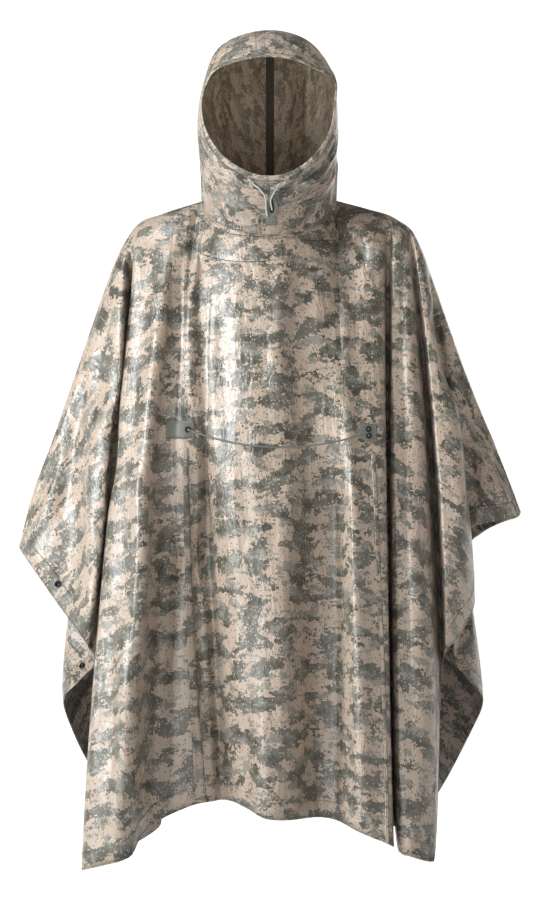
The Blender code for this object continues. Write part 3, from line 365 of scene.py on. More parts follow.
# Rolls along the front's deep folds: first and last place, line as (x, z), widths left and right of it, rise
Roll = namedtuple("Roll", "first last line left right rise")
ROLLS = rows_of(Roll, (
    (-190, 20, ((-148, 0), (-148, -50), (-150, -150), (-157, -300), (-162, -420), (-168, -540)), 20, 40, 14),
    (-190, 190, ((-106, -380), (-102, -500), (-94, -620), (-78, -740), (-52, -880), (-40, -1060)), 76, 26, -20),
    (-190, 190, ((92, -380), (104, -500), (110, -640), (116, -820), (126, -1060)), 47, 18, -25),
    (-365, -233, ((-236, -60), (-240, -150), (-243.5, -272), (-257.5, -366), (-270, -500), (-283, -620),
         (-297, -720)), 26, 5.5, 34),
    (-104, -40, ((-93, -320), (-93, -375), (-88, -570), (-75, -700), (-64, -900), (-60, -980)), 5, 34, 11),
    (-124, -60, ((-104, -300), (-104, -375), (-100, -570), (-89, -700), (-82, -900), (-80, -980)), 8, 8, -16),
    (-214, -120, ((-166, -50), (-176, -150), (-182, -250), (-195, -350), (-203, -440), (-207, -600), (-211, -700),
         (-226, -800), (-240, -920), (-244, -1040)), 20, 12, 15),
    (85, 175, ((118, -100), (122, -300), (129, -450), (136, -620), (143, -800), (150, -990)), 18, 13, 14),
    (204, 222, ((216.5, -60), (216, -250), (217.5, -400), (219, -620), (220, -900)), 4, 3, -6),
))
ROLL_STARTS_OVER = 0.10
ROLL_STOPS_OVER = 0.08
ROLL_STOPS_LATE = 0.25
ROLL_EDGE = 0.004

# The lines below the sides of the neck, eased over some columns each way, near them and in the upper drops
EASE_COLUMNS = 7
EASE_SPREAD = 4.6
EASE_NEAR = 0.020
EASE_STARTS_OVER = 0.05
EASE_STOPS = 0.55
EASE_STOPS_OVER = 0.15

# Gathers and folds of the hood: place and drop at the start and the end, half width, depth
Gather = namedtuple("Gather", "place drop end_place end_drop half depth")
GATHERS = {-1: rows_of(Gather, (
    (460, 100, 800, 160, 3, 2.2), (500, 200, 860, 300, 3.5, -2.6), (560, 260, 900, 420, 4, 3.2),
    (600, 420, 880, 550, 4.5, -3.2), (640, 340, 760, 860, 5, 3.2), (790, 600, 930, 800, 4.5, 5.4),
    (920, 800, 990, 820, 4, 4), (740, 680, 920, 920, 5, -4.8), (680, 800, 770, 1000, 5.5, -7),
    (860, 60, 990, 300, 3, -2.6), (900, 50, 985, 500, 3, 2.8), (820, 100, 970, 440, 3, 2.4),
    (940, 560, 980, 960, 4, -3.6), (320, 60, 40, 160, 3, -1.8), (360, 120, 60, 240, 3.2, 2),
    (260, 30, 20, 70, 2.8, 1.6), (340, 260, 30, 360, 4, 2.4), (250, 340, 270, 980, 7.5, -5.8),
    (160, 360, 170, 1000, 9, 4), (80, 340, 70, 1000, 8, -4), (360, 500, 360, 1000, 8, -7),
    (440, 440, 470, 960, 7.5, 5),
)), 1: rows_of(Gather, (
    (500, 120, 920, 180, 3, 2.4), (550, 200, 950, 300, 3.5, -2.8), (520, 300, 920, 420, 3.5, 2.8),
    (600, 440, 960, 560, 4.5, -3.6), (560, 560, 900, 720, 4.5, 3.6), (620, 700, 840, 980, 5, -4.4),
    (740, 620, 960, 860, 4.5, 3.4), (900, 50, 980, 400, 3, 2.6), (840, 80, 950, 360, 3, -2.4),
    (470, 600, 600, 980, 6, 4.4), (20, 140, 320, 200, 3, 1.4), (40, 60, 300, 120, 3, -1.4),
    (20, 240, 260, 300, 3.8, -1.6), (160, 320, 220, 980, 7.5, -6.2), (260, 420, 300, 1000, 8, 7),
    (70, 500, 100, 1000, 7, 5), (380, 500, 380, 1000, 8, -7), (460, 400, 480, 940, 7.5, -5),
))}
GATHER_ENDS = (0.25, 0.30)
GATHER_RUNS_OUT = 0.94
GATHER_WANDERS = 0.012
GATHER_POINTS = 17
GATHER_HELD = 0.03
GATHER_NECK = 0.05
GATHER_NECK_LEAST = 0.15

# Corners that the face edge stands out to: place and reach along the edge, reach down the panel, move
Corner = namedtuple("Corner", "place wide down move")
HOOD_CORNERS = {
    -1: rows_of(Corner, ((270, 80, 120, (-3, 0, 5.5)),)),
    1: rows_of(Corner, ((370, 60, 350, (7, -2, 11)), (280, 50, 200, (4, 0, 3)))),
}

# Seams that show as a line of stitches with a dark edge line, painted shadow of the seam's fold: name, line as (x,
# z), distances between its rows
Seam = namedtuple("Seam", "name line rows")
SEAMS = {-1: rows_of(Seam, (
    ("neck", ((-92, -34), (-75, -38), (-58.2, -41), (-11.3, -45), (6.5, -44), (35.6, -46.8), (66.3, -51.2),
         (93.8, -49.6), (118.1, -46.4)), (0, -3)),
    ("yoke", ((-136, -54.5), (-121, -64), (-105, -74), (-87, -80), (-69.6, -83.6), (-34, -86.8), (11.3, -83.6)),
         (0,)),
    ("left_shoulder", ((-129, 4), (-111, -13.5), (-93, -33)), (0, -4.5)),
    ("right_neck", ((104, 10), (106.8, -17.2), (118.1, -44.7)), (0,)),
)), 1: rows_of(Seam, (
    ("back_neck", ((-118, -30), (-60, -18), (0, -14), (60, -18), (118, -30)), (0, -5)),
))}

# Casing of the face opening: distance from the edge, half width and half depth, and what the puckers add to them
CASING_DOWN = 0.0042
CASING_WIDE = (0.0046, 0.0006)
CASING_DEEP = (0.0017, 0.0007)
CASING_PUCKER = 0.0005
CASING_AROUND = 12
RIM_ROWS = 3
PUCKER_STEP = 0.62
PUCKER_SEED = 3.1
PUCKER_LEAST = 0.25

# Finish, as linear colours
SAND = (0.392, 0.308, 0.240)
SAND_PALE = (0.430, 0.375, 0.315)
GREY_LIGHT = (0.205, 0.190, 0.158)
GREY_GREEN = (0.104, 0.098, 0.076)
GREY_DARK = (0.056, 0.051, 0.037)
PATCH_GREY = (0.135, 0.140, 0.118)
CORD_GREY = (0.420, 0.425, 0.380)
WAIST_CORD_GREY = (0.150, 0.155, 0.128)
THREAD_GREY = (0.130, 0.125, 0.100)
# Dark of the fine line beside each seam, painted shadow
SEAM_SHADOW_DARK = (0.040, 0.040, 0.032)
TAPE_BROWN = (0.060, 0.054, 0.040)
LOCK_GREY = (0.112, 0.118, 0.100)
# Brown of the hood's inside: its print seen muted, with painted warm shade of light through the cloth
MUTED_PRINT_AND_SHADE_BROWN = (0.290, 0.215, 0.140)
BLACK_METAL = (0.012, 0.012, 0.013)
PALE_METAL = (0.45, 0.46, 0.43)

# Camouflage: side of a printed square, scales of its blotches, and the levels at which a tone begins
PIXEL = 0.0018
BLOTCHES = 20.0
SECOND_BLOTCHES = 30.0
JAGS = 190.0
SPECKS = 330.0
GREEN_FROM = 0.503
LIGHT_FROM = 0.560
GREEN_LIGHT_FROM = 0.570
DARK_BELOW = 0.445
PALE_SPECKS_FROM = 0.74
DARK_SPECKS_BELOW = 0.27
FADE = 0.20


def hermite(knots, values, at, start=None, end=None, tight=False):
    """Smooth curve through values at knots, read at each place in at; a tight one never overshoots them."""
    knots = np.asarray(knots, float)
    values = np.asarray(values, float)
    at = np.clip(np.asarray(at, float), knots[0], knots[-1])
    step = np.diff(knots)
    shape = (-1,) + (1,) * (values.ndim - 1)
    slope = np.diff(values, axis=0) / step.reshape(shape)
    tangent = np.empty_like(values)
    tangent[0] = slope[0] if start is None else start
    tangent[-1] = slope[-1] if end is None else end
    for k in range(1, len(knots) - 1):
        left, right = step[k - 1], step[k]
        tangent[k] = (slope[k - 1] * right + slope[k] * left) / (left + right)
        if tight:
            limit = TIGHT_SLOPE * np.minimum(np.abs(slope[k - 1]), np.abs(slope[k]))
            turns = slope[k - 1] * slope[k] < 0
            tangent[k] = np.where(turns, 0, np.clip(tangent[k], -limit, limit))
    k = np.clip(np.searchsorted(knots, at, side="right") - 1, 0, len(step) - 1)
    h = step[k].reshape(shape)
    f = ((at - knots[k]) / step[k]).reshape(shape)
    a, b = values[k], values[k + 1]
    ta, tb = tangent[k] * h, tangent[k + 1] * h
    return (a * (2 * f**3 - 3 * f**2 + 1) + ta * (f**3 - 2 * f**2 + f)
            + b * (3 * f**2 - 2 * f**3) + tb * (f**3 - f**2))


def read_at(at, knots, values):
    """Columns of values that are known at knots, read at one place or at more."""
    return np.stack([np.interp(at, knots, column) for column in np.asarray(values).T], axis=-1)


def run_along(points):
    """Length run along a line of points up to each of them."""
    return np.concatenate([[0], np.cumsum(np.linalg.norm(np.diff(points, axis=0), axis=1))])


def soft_line(distance, half):
    """Height of a soft trough or ridge at a distance from its line."""
    return np.exp(-((distance / half) ** 2))


def ramp(value):
    """Value held between 0 and 1."""
    return np.clip(value, 0, 1)


def neck_point(angle, spread=0.0):
    """Point of the neck seam; angle 0 is the front middle, pi the back middle, positive towards +X."""
    ahead = math.cos(angle)
    depth = NECK_FRONT if ahead > 0 else NECK_BACK
    dip = NECK_DIP_FRONT if ahead > 0 else NECK_DIP_BACK
    x = (NECK_HALF + spread) * math.sin(angle)
    y = -(depth + spread) * ahead
    return np.array((x, y, NECK_TOP - dip * abs(ahead) ** NECK_DIP_POWER))


def top_point(x, side):
    """Point of a body half's top edge."""
    if abs(x) >= NECK_HALF:
        clear = NECK_CLEAR * max(0.0, 1 - (abs(x) - NECK_HALF) / NECK_CLEAR_FADES)
        height = float(hermite(SHOULDER_X, SHOULDER_Z, [x])[0])
        return np.array((x + math.copysign(clear, x), side * GAP / 2, height))
    angle = math.asin(x / NECK_HALF)
    return neck_point(math.pi - angle if side > 0 else angle, NECK_CLEAR)


def body_points(side, places, drops):
    """Grid of a body half: a row for each place along the top edge, a point for each drop."""
    folds = FOLDS[side]
    knots = [row.top_x for row in folds]
    below = drops[0] > 0
    drops = np.concatenate([[0.0], drops]) if below else np.asarray(drops)
    t = drops[:, None]
    lines = []
    for _, top_x, leave, arrive, end in folds:
        start = top_point(top_x, side)
        handle = start + np.array(leave)
        lines.append(start * (1 - t) ** 3 + 3 * handle * t * (1 - t) ** 2
                     + 3 * np.array(arrive) * t**2 * (1 - t) + np.array(end) * t**3)
    apart = [FOLD_APART_LEAST + FOLD_APART_PER_METRE * (b - a) for a, b in zip(knots, knots[1:])]
    spread = np.cumsum([0] + apart)
    grid = hermite(spread, np.array(lines), np.interp(places, knots, spread), tight=True)
    for k, x in enumerate(places):
        grid[k] += (top_point(x, side) - grid[k, 0]) * (1 - t) ** 3
        roll = 0.0 if abs(x) < NECK_HALF else float(np.interp(x, SHOULDER_X, SHOULDER_ROLL))
        over = np.sqrt(1 - (1 - ramp(drops / ROLL_ENDS)) ** 2)
        grid[k, :, 1] += side * roll * over * ramp(1 - drops) ** 2
    return grid[:, 1:] if below else grid


def hood_points(side, places, drops):
    """Grid of a hood panel: a row for each place round the face, a point for each drop."""
    at = [row.place for row in HOOD_SECTIONS]
    sections = []
    for _, place, points in HOOD_SECTIONS:
        neck = neck_point(math.pi * (1 - place), HOOD_OUTSIDE)
        neck[2] -= HOOD_BELOW
        sections.append([*points, neck])
    sections = np.array(sections, float)
    knots = np.linspace(0, 1, sections.shape[1])
    down = np.array([hermite(knots, line, drops) for line in sections])
    start, end = np.zeros_like(down[0]), np.zeros_like(down[0])
    start[:, 0] = (down[1][:, 0] - down[0][:, 0]) / at[1] * HOOD_END_SLOPE
    end[:, 0] = (down[-1][:, 0] - down[-2][:, 0]) / (at[-1] - at[-2]) * HOOD_END_SLOPE
    grid = hermite(at, down, places, start, end)
    width = 1 + (HOOD_WIDTH[side] - 1) * (1 - drops**4)
    grid[:, :, 0] = np.maximum(grid[:, :, 0], 0) * side * width
    return grid


def normals(grid):
    """Unit normal at each point of a grid."""
    n = np.cross(np.gradient(grid, axis=0), np.gradient(grid, axis=1))
    return n / np.maximum(np.linalg.norm(n, axis=2, keepdims=True), TINY)


def waist_route(front):
    """Waist cord: it spans the hollows, rests on the ridges and sags between its grommets."""
    places, drops, grid, _ = front
    across = np.array([read_at(sum(WAIST_DROPS) / 2, drops, column) for column in grid])
    line = read_at(np.linspace(GROMMET_LEFT, GROMMET_RIGHT, WAIST_LOOKS), places, across)
    keep = []
    for p in line:
        while len(keep) > 1:
            a, b = keep[-2], keep[-1]
            if (b[0] - a[0]) * (p[1] - a[1]) - (b[1] - a[1]) * (p[0] - a[0]) > 0:
                break
            keep.pop()
        keep.append(p)
    keep = np.array(keep)
    x = np.linspace(line[0][0], line[-1][0], WAIST_POINTS)
    y = np.interp(x, keep[:, 0], keep[:, 1]) - WALL / 2 - TRIM_WALL - WAIST_CORD_RADIUS - WAIST_CLEAR
    f = (x - x[0]) / (x[-1] - x[0])
    y -= WAIST_END_LIFT * ramp(1 - np.minimum(x - x[0], x[-1] - x) / WAIST_END_RUN)
    z = np.interp(f, (0, 1), (line[0][2], line[-1][2])) - WAIST_SAG * 4 * f * (1 - f)
    return np.stack([x, y, z], axis=1)


def hood_strand(name):
    """Hood cord strand from its eyelet to the lock."""
    route = STRANDS[name]
    return hermite(np.linspace(0, 1, len(route)), route, np.linspace(0, 1, STRAND_POINTS))


def put_in_scene(name, data, *materials):
    """Object of a mesh, curve, light or camera."""
    made = bpy.data.objects.new(name, data)
    bpy.context.scene.collection.objects.link(made)
    for material in materials:
        data.materials.append(material)
    return made


def declare(piece, replaced):
    """A piece rides on the one body and takes the place of the solids that it dresses."""
    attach(piece, "root")
    if replaced:
        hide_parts(*replaced)
    return piece


def new_piece(bm, name, material, replaced=(), smooth=True):
    """Finishes a bmesh as a piece of the poncho."""
    mesh = bpy.data.meshes.new(name)
    bm.to_mesh(mesh)
    bm.free()
    if smooth:
        mesh.shade_smooth()
    return declare(put_in_scene(name, mesh, material), replaced)


def round_line(name, points, radius, material, replaced=(), smoothness=1):
    """A cord, or a fine line sewn on the cloth, as one open curve."""
    data = bpy.data.curves.new(name, "CURVE")
    data.dimensions = "3D"
    data.bevel_depth = radius
    data.bevel_resolution = smoothness
    data.use_fill_caps = True
    spline = data.splines.new("POLY")
    spline.points.add(len(points) - 1)
    for slot, point in zip(spline.points, points):
        slot.co = (*point, 1)
    return declare(put_in_scene(name, data, material), replaced)


def add_wall(piece, thick, inside=None):
    """Gives a cloth its thickness and, if asked, a second finish inside, whose colour is scaled with painted light
    and shade.
    """
    wall = piece.modifiers.new("wall", "SOLIDIFY")
    wall.thickness = thick
    wall.offset = 0.0
    wall.use_even_offset = False
    if inside is not None:
        piece.data.materials.append(inside)
        wall.material_offset = 1
    return piece


def add_grid(bm, grid, middle):
    """Adds the faces of a grid of points, turned away from a middle point, and gives its vertices in order."""
    rows, cols = grid.shape[:2]
    verts, faces = len(bm.verts), len(bm.faces)
    bmesh.ops.create_grid(bm, x_segments=cols - 1, y_segments=rows - 1, size=1)
    verts, faces = bm.verts[:][verts:], bm.faces[:][faces:]
    for vert, point in zip(verts, grid.reshape(-1, 3)):
        vert.co = point
    bm.normal_update()
    inwards = sum(face.normal.dot(face.calc_center_median() - Vector(middle)) < 0 for face in faces)
    if inwards > len(faces) // 2:
        bmesh.ops.reverse_faces(bm, faces=faces)
    return verts


def write_uv(bm, place_of, name="cloth"):
    """Stores each vertex's place as a UV map; "cloth" is the cloth laid flat, in metres."""
    bm.verts.index_update()
    uv = bm.loops.layers.uv.new(name)
    for face in bm.faces:
        for loop in face.loops:
            loop[uv].uv = place_of(loop.vert)


def write_flat_uv(bm, flats, name="cloth"):
    """Stores one place for each point of the cloth's grids."""
    at = np.concatenate([flat.reshape(-1, 2) for flat in flats])
    write_uv(bm, lambda vert: at[vert.index], name)


def lay_flat(grid, way, rounds, held=None, held_at=None):
    """Lays a cloth grid flat with springs between its neighbours; held points stay where they are put."""
    rows, cols = grid.shape[:2]
    across = np.linalg.norm(np.diff(grid, axis=0), axis=2)
    down = np.linalg.norm(np.diff(grid, axis=1), axis=2)
    u = np.concatenate([np.zeros((1, cols)), np.cumsum(across, axis=0)])
    v = np.concatenate([np.zeros((rows, 1)), np.cumsum(down, axis=1)], axis=1)
    flat = np.stack([u - u[rows // 2], way * v], axis=2)
    ahead, behind, every = slice(1, None), slice(None, -1), slice(None)
    springs = []
    for a, b in (((behind, every), (ahead, every)), ((every, behind), (every, ahead)),
                 ((behind, behind), (ahead, ahead)), ((ahead, behind), (behind, ahead))):
        springs.append((a, b, np.linalg.norm(grid[a] - grid[b], axis=2)))
    speed = np.zeros_like(flat)
    for _ in range(rounds):
        push = np.zeros_like(flat)
        for a, b, rest in springs:
            pull = flat[b] - flat[a]
            now = np.maximum(np.linalg.norm(pull, axis=2), TINY)
            force = pull * (SPRING * (now - rest) / now)[..., None]
            push[a] += force
            push[b] -= force
        speed = SPRING_KEEPS * speed + push
        flat += speed
        if held is not None:
            flat[held, 0] = held_at
            speed[held, 0] = 0
    return flat


def press_creases(grid, side):
    """Moves a body half's points along its normals by the creases listed for it."""
    n = normals(grid) * side
    push = np.zeros(grid.shape[:2])
    for x, z, end_x, end_z, half, depth in CREASES[side]:
        way = np.array((end_x - x, end_z - z))
        long = np.linalg.norm(way)
        way /= long
        flat = grid[:, :, [0, 2]] - np.array((x, z))
        run = flat @ way
        wander = CREASE_WANDERS * half * np.sin(run / long * 7.0 + 40 * x)
        off = flat[:, :, 0] * way[1] - flat[:, :, 1] * way[0] + wander
        fade = ramp(run / (CREASE_ENDS[0] * long)) * ramp((long - run) / (CREASE_ENDS[1] * long))
        push += depth * soft_line(off, half) * fade * fade * (3 - 2 * fade)
    return grid + n * push[:, :, None], n


def press_rolls(grid, places):
    """Moves the front's points out or in along its deep folds."""
    run = -grid[:, :, 2]
    for roll in ROLLS:
        x, z = np.array(roll.line).T
        off = grid[:, :, 0] - np.interp(run, -z, x)
        fade = ramp((run + z[0]) / ROLL_STARTS_OVER) * ramp((-z[-1] - run) / ROLL_STOPS_OVER + ROLL_STOPS_LATE)
        edge = ramp(np.minimum(places - roll.first, roll.last - places) / ROLL_EDGE)
        wide = np.where(off < 0, roll.left, roll.right)
        grid[:, :, 1] -= roll.rise * soft_line(off, wide) * fade * edge[:, None]


def body_places():
    """The x of every column: evenly close on the cloth, with each fold line of both halves kept."""
    tops = sorted({row.top_x for row in (*FRONT_FOLDS, *BACK_FOLDS)} | {-NECK_HALF, NECK_HALF})
    wide = np.zeros(len(tops) - 1)
    for side in FOLDS:
        grid = body_points(side, np.array(tops), np.linspace(0, 1, 9))
        wide = np.maximum(wide, np.linalg.norm(np.diff(grid, axis=0), axis=2).max(axis=1))
    places = [tops[0]]
    for a, b, width in zip(tops, tops[1:], wide):
        count = max(1, round(width / BODY_COLUMN))
        places += [a + (b - a) * k / count for k in range(1, count + 1)]
    return np.array(places)


def ease_neck_lines(grid, places, drops):
    """Softens the two lines that would run down from the sides of the neck."""
    weights = soft_line(np.arange(-EASE_COLUMNS, EASE_COLUMNS + 1), EASE_SPREAD)
    weights /= weights.sum()
    padded = np.pad(grid[:, :, 1], ((EASE_COLUMNS, EASE_COLUMNS), (0, 0)), mode="edge")
    eased = sum(w * padded[k:k + len(places)] for k, w in enumerate(weights))
    near = soft_line(np.abs(places) - NECK_HALF, EASE_NEAR)[:, None]
    down = ramp(drops / EASE_STARTS_OVER) * ramp((EASE_STOPS - drops) / EASE_STOPS_OVER)
    grid[:, :, 1] += (eased - grid[:, :, 1]) * near * down


def body_halves():
    """Places, drops, grid and outward normals of the body's front and back half."""
    places = body_places()
    drops = np.linspace(0, 1, BODY_ROWS) ** TOP_CROWD
    halves = {}
    for side in FOLDS:
        grid = body_points(side, places, drops)
        ease_neck_lines(grid, places, drops)
        if side < 0:
            press_rolls(grid, places)
        grid, n = press_creases(grid, side)
        for k in np.flatnonzero(on_shoulder(places)):
            x, _, z = top_point(places[k], side)
            grid[k, 0] = (x, 0.0, z)
        halves[side] = (places, drops, grid, n)
    return halves


def on_shoulder(places):
    """Whether each place lies on the shoulder fold rather than on the neck."""
    return np.abs(places) >= NECK_HALF - TINY


def distance_from_edge(grid):
    """Distance of every point from the sides' and the bottom's edge."""
    edge = np.concatenate([grid[0], grid[:, -1], grid[-1]])
    tree = kdtree.KDTree(len(edge))
    for k, p in enumerate(edge):
        tree.insert(p, k)
    tree.balance()
    return np.array([tree.find(p)[2] for p in grid.reshape(-1, 3)])


def make_body_cloth(halves, cloth, inside):
    """The body: one cloth over both shoulders, with its hem distance kept for the finish."""
    bm = bmesh.new()
    hem = bm.verts.layers.float.new("hem")
    for side, (_, _, grid, _) in halves.items():
        verts = add_grid(bm, grid, (0, -side * FAR, 0))
        for vert, away in zip(verts, distance_from_edge(grid)):
            vert[hem] = away
    shoulder = on_shoulder(halves[-1][0])
    front_flat = lay_flat(halves[-1][2], -1, BODY_ROUNDS)
    back_flat = lay_flat(halves[1][2], 1, BODY_ROUNDS, shoulder, front_flat[shoulder, 0])
    write_flat_uv(bm, (front_flat, back_flat))
    bmesh.ops.remove_doubles(bm, verts=bm.verts, dist=WELD)
    piece = new_piece(bm, "poncho_body", cloth, ("front_body", "back_body"))
    return add_wall(piece, CLOTH_THICK, inside)


def gather_push(gather, places, drops, grid):
    """How far one gather moves each point of a hood panel along its normal."""
    share = np.linspace(0, 1, GATHER_POINTS)
    place = gather.place * (1 - share) + gather.end_place * share
    drop = gather.drop * (1 - share) + gather.end_drop * share
    drop += GATHER_WANDERS * np.sin(share * 6 + 30 * gather.place)
    column = np.round(np.interp(place, places, np.arange(len(places)))).astype(int)
    row = np.round(np.interp(drop, drops, np.arange(len(drops)))).astype(int)
    line = grid[column, row]
    away = np.full(grid.shape[:2], 1.0)
    fade = np.zeros(grid.shape[:2])
    for k in range(len(line) - 1):
        step = line[k + 1] - line[k]
        t = ramp(((grid - line[k]) @ step) / max(step @ step, TINY))
        off = np.linalg.norm(grid - line[k] - t[..., None] * step, axis=2)
        nearer = off < away
        away = np.where(nearer, off, away)
        at = (k + t) / (len(line) - 1)
        stops = 1.0 if gather.end_drop > GATHER_RUNS_OUT else ramp((1 - at) / GATHER_ENDS[1])
        fade = np.where(nearer, ramp(at / GATHER_ENDS[0]) * stops, fade)
    return gather.depth * soft_line(away, gather.half) * fade


def hood_panel(side):
    """Places, drops, grid and outward normals of a hood panel with its gathers pressed in."""
    places = np.linspace(0, 1, HOOD_COLUMNS)
    drops = np.linspace(0, 1, HOOD_ROWS) ** RIM_CROWD
    grid = hood_points(side, places, drops)
    crown = ramp((grid[:, :, 2] - CROWN_FROM) / CROWN_OVER) ** 2 * ramp(drops / CROWN_DROP)
    grid[:, :, 2] -= CROWN_SETTLES * crown
    for corner in HOOD_CORNERS[side]:
        near = soft_line(places - corner.place, corner.wide)[:, None] * soft_line(drops, corner.down)
        grid += near[:, :, None] * np.array(corner.move)
    n = normals(grid)
    n *= np.sign(np.sum(n * (grid - np.array(HOOD_MIDDLE))))
    push = sum(gather_push(gather, places, drops, grid) for gather in GATHERS[side])
    hold = ramp(np.minimum(places, 1 - places) / GATHER_HELD)
    base = np.clip((1 - drops) / GATHER_NECK, GATHER_NECK_LEAST, 1)
    grid = grid + n * (push * hold[:, None] * base)[:, :, None]
    pressed = normals(grid)
    return places, drops, grid, pressed * np.sign(np.sum(n * pressed))


def make_hood_cloth(panels, cloth, inside):
    """Both side panels of the hood, joined along the crown, each laid flat upright for its pattern."""
    bm = bmesh.new()
    flats, rims = [], []
    for side, (places, drops, grid, _) in panels.items():
        add_grid(bm, grid, HOOD_MIDDLE)
        flat = lay_flat(grid, -1, HOOD_ROUNDS)
        way = flat[HOOD_COLUMNS // 2, UPRIGHT_FROM] - flat[HOOD_COLUMNS // 2, UPRIGHT_TO]
        turn = math.pi / 2 - math.atan2(way[1], way[0])
        spin = np.array(((math.cos(turn), -math.sin(turn)), (math.sin(turn), math.cos(turn))))
        flats.append(flat @ spin.T + (HOOD_FLAT_PLACE[0] * side, HOOD_FLAT_PLACE[1]))
        apart = RIM_APART if side > 0 else 0.0
        rims.append(np.stack(np.meshgrid(places + apart, drops, indexing="ij"), axis=2))
    write_flat_uv(bm, flats)
    write_flat_uv(bm, rims, "rim")
    bmesh.ops.remove_doubles(bm, verts=bm.verts, dist=WELD)
    piece = new_piece(bm, "hood_cloth", cloth, ("hood_left", "hood_right"))
    return add_wall(piece, CLOTH_THICK, inside)


def rim_stations(panels):
    """Edge, way down the panel and outward normal all round the face opening, from throat to throat."""
    stations = []
    for side, order in ((-1, slice(None, None, -1)), (1, slice(1, -1))):
        _, _, grid, n = panels[side]
        down = grid[order, RIM_ROWS] - grid[order, 0]
        down /= np.linalg.norm(down, axis=1, keepdims=True)
        stations += list(zip(grid[order, 0], down, n[order, 1]))
    return stations


def make_casing(panels, cloth):
    """The narrow casing that the hood cord runs in, puckered where it is drawn up."""
    stations = rim_stations(panels)
    count = len(stations)
    bm = bmesh.new()
    rings = []
    for k, (edge, down, n) in enumerate(stations):
        drawn = 0.5 + 0.5 * math.cos(2 * math.pi * k / count)
        pucker = noise.noise(Vector((k * PUCKER_STEP, PUCKER_SEED, 0))) * (PUCKER_LEAST + (1 - PUCKER_LEAST) * drawn)
        wide, deep = (base + more * pucker for base, more in (CASING_WIDE, CASING_DEEP))
        ring = []
        for a in range(CASING_AROUND):
            angle = 2 * math.pi * a / CASING_AROUND
            across = down * (CASING_DOWN + wide * math.cos(angle))
            ring.append(bm.verts.new(edge + across + n * (deep * math.sin(angle) + CASING_PUCKER * pucker)))
        rings.append([bm.edges.new(pair) for pair in zip(ring, ring[1:] + ring[:1])])
    for k in range(count):
        bmesh.ops.bridge_loops(bm, edges=rings[k] + rings[(k + 1) % count])
    bmesh.ops.recalc_face_normals(bm, faces=bm.faces)
    write_uv(bm, lambda vert: (vert.co.x + vert.co.y * 0.6, vert.co.z + vert.co.y * 0.4))
    return new_piece(bm, "hood_casing_roll", cloth, ("hood_casing",))


def stitch_row(bm, points, outs, lift=0.0):
    """Adds a row of thread stitches along points: each a short flat bar lying along the line, facing out."""
    ways = np.gradient(points, axis=0)
    ways /= np.maximum(np.linalg.norm(ways, axis=1, keepdims=True), TINY)
    points = points + outs * lift
    run = run_along(points)
    size = Matrix.Diagonal((STITCH_THICK, STITCH_LONG, STITCH_THICK * STITCH_FLAT, 1))
    for start in np.arange(STITCH_PITCH / 2, run[-1] - STITCH_PITCH / 2, STITCH_PITCH):
        way = Vector(read_at(start, run, ways)).normalized()
        out = Vector(read_at(start, run, outs))
        out = (out - way * out.dot(way)).normalized()
        place = Matrix((way.cross(out), way, out)).transposed().to_4x4()
        place.translation = Vector(read_at(start, run, points))
        bmesh.ops.create_cube(bm, size=1, matrix=place @ size)


def between_columns(half, place):
    """Points and normals down a body half at one place, read between its two nearest columns."""
    places, _, grid, n = half
    k = int(np.searchsorted(places, place)) - 1
    f = (place - places[k]) / (places[k + 1] - places[k])
    return grid[k] * (1 - f) + grid[k + 1] * f, n[k] * (1 - f) + n[k + 1] * f


def line_down(half, place, first, last, lift):
    """Line down a body half at one place, between two drops, lifted off the cloth."""
    at = np.linspace(first, last, LINE_POINTS)
    points, outs = (read_at(at, half[1], line) for line in between_columns(half, place))
    return points + outs * lift, outs


def line_below_neck(half, away, lift):
    """Line across a body half at a distance below the neck's edge."""
    places, _, grid, n = half
    points, outs = [], []
    for k in np.flatnonzero(np.abs(places) <= NECK_HALF):
        run = run_along(grid[k])
        points.append(read_at(away, run, grid[k]))
        outs.append(read_at(away, run, n[k]))
    return np.array(points) + np.array(outs) * lift, np.array(outs)


def line_inside_edge(half, away, lift):
    """Line at an even distance inside a body half's open edge, from tip to tip."""
    _, drops, grid, n = half
    points, outs = [], []
    for k, column in enumerate(distance_from_edge(grid).reshape(grid.shape[:2])):
        inside = np.flatnonzero(column > away)
        if len(inside) == 0 or inside[-1] >= len(drops) - 1:
            continue
        j = inside[-1]
        f = (column[j] - away) / (column[j] - column[j + 1])
        points.append(grid[k, j] * (1 - f) + grid[k, j + 1] * f)
        outs.append(n[k, j])
    return np.array(points) + np.array(outs) * lift, np.array(outs)


def make_stitching(halves, panels, thread):
    """Every row of stitches at the hems, the neck, the raised seams and round the hood."""
    rise = CLOTH_THICK / 2 + STITCH_THICK * STITCH_STANDS
    rows = []
    for half in halves.values():
        rows += [line_inside_edge(half, away, rise) for away in (HEM_SIDE, HEM_EDGE)]
        rows += [line_below_neck(half, away, rise) for away in NECK_STITCHES]
    for place in SEAM_PLACES.values():
        for across in (-SEAM_STITCHES_APART / 2, SEAM_STITCHES_APART / 2):
            rows.append(line_down(halves[-1], place + across, SEAM_TOP, SEAM_STITCHES_END, rise + SEAM_THICK))
    for _, _, grid, n in panels.values():
        rows += [(grid[k] + n[k] * rise, n[k]) for k in CROWN_STITCH_COLUMNS]
        down = grid[:, CASING_STITCH_ROWS] - grid[:, 0]
        down /= np.linalg.norm(down, axis=1)[:, None]
        beside = grid[:, 0] + down * CASING_STITCHES_DOWN
        out = n[:, CASING_STITCH_ROWS // 2]
        rows.append((beside + out * (rise + CASING_STITCHES_LIFT), out))
    bm = bmesh.new()
    for points, outs in rows:
        stitch_row(bm, points, outs)
    return new_piece(bm, "stitching", thread, smooth=False)


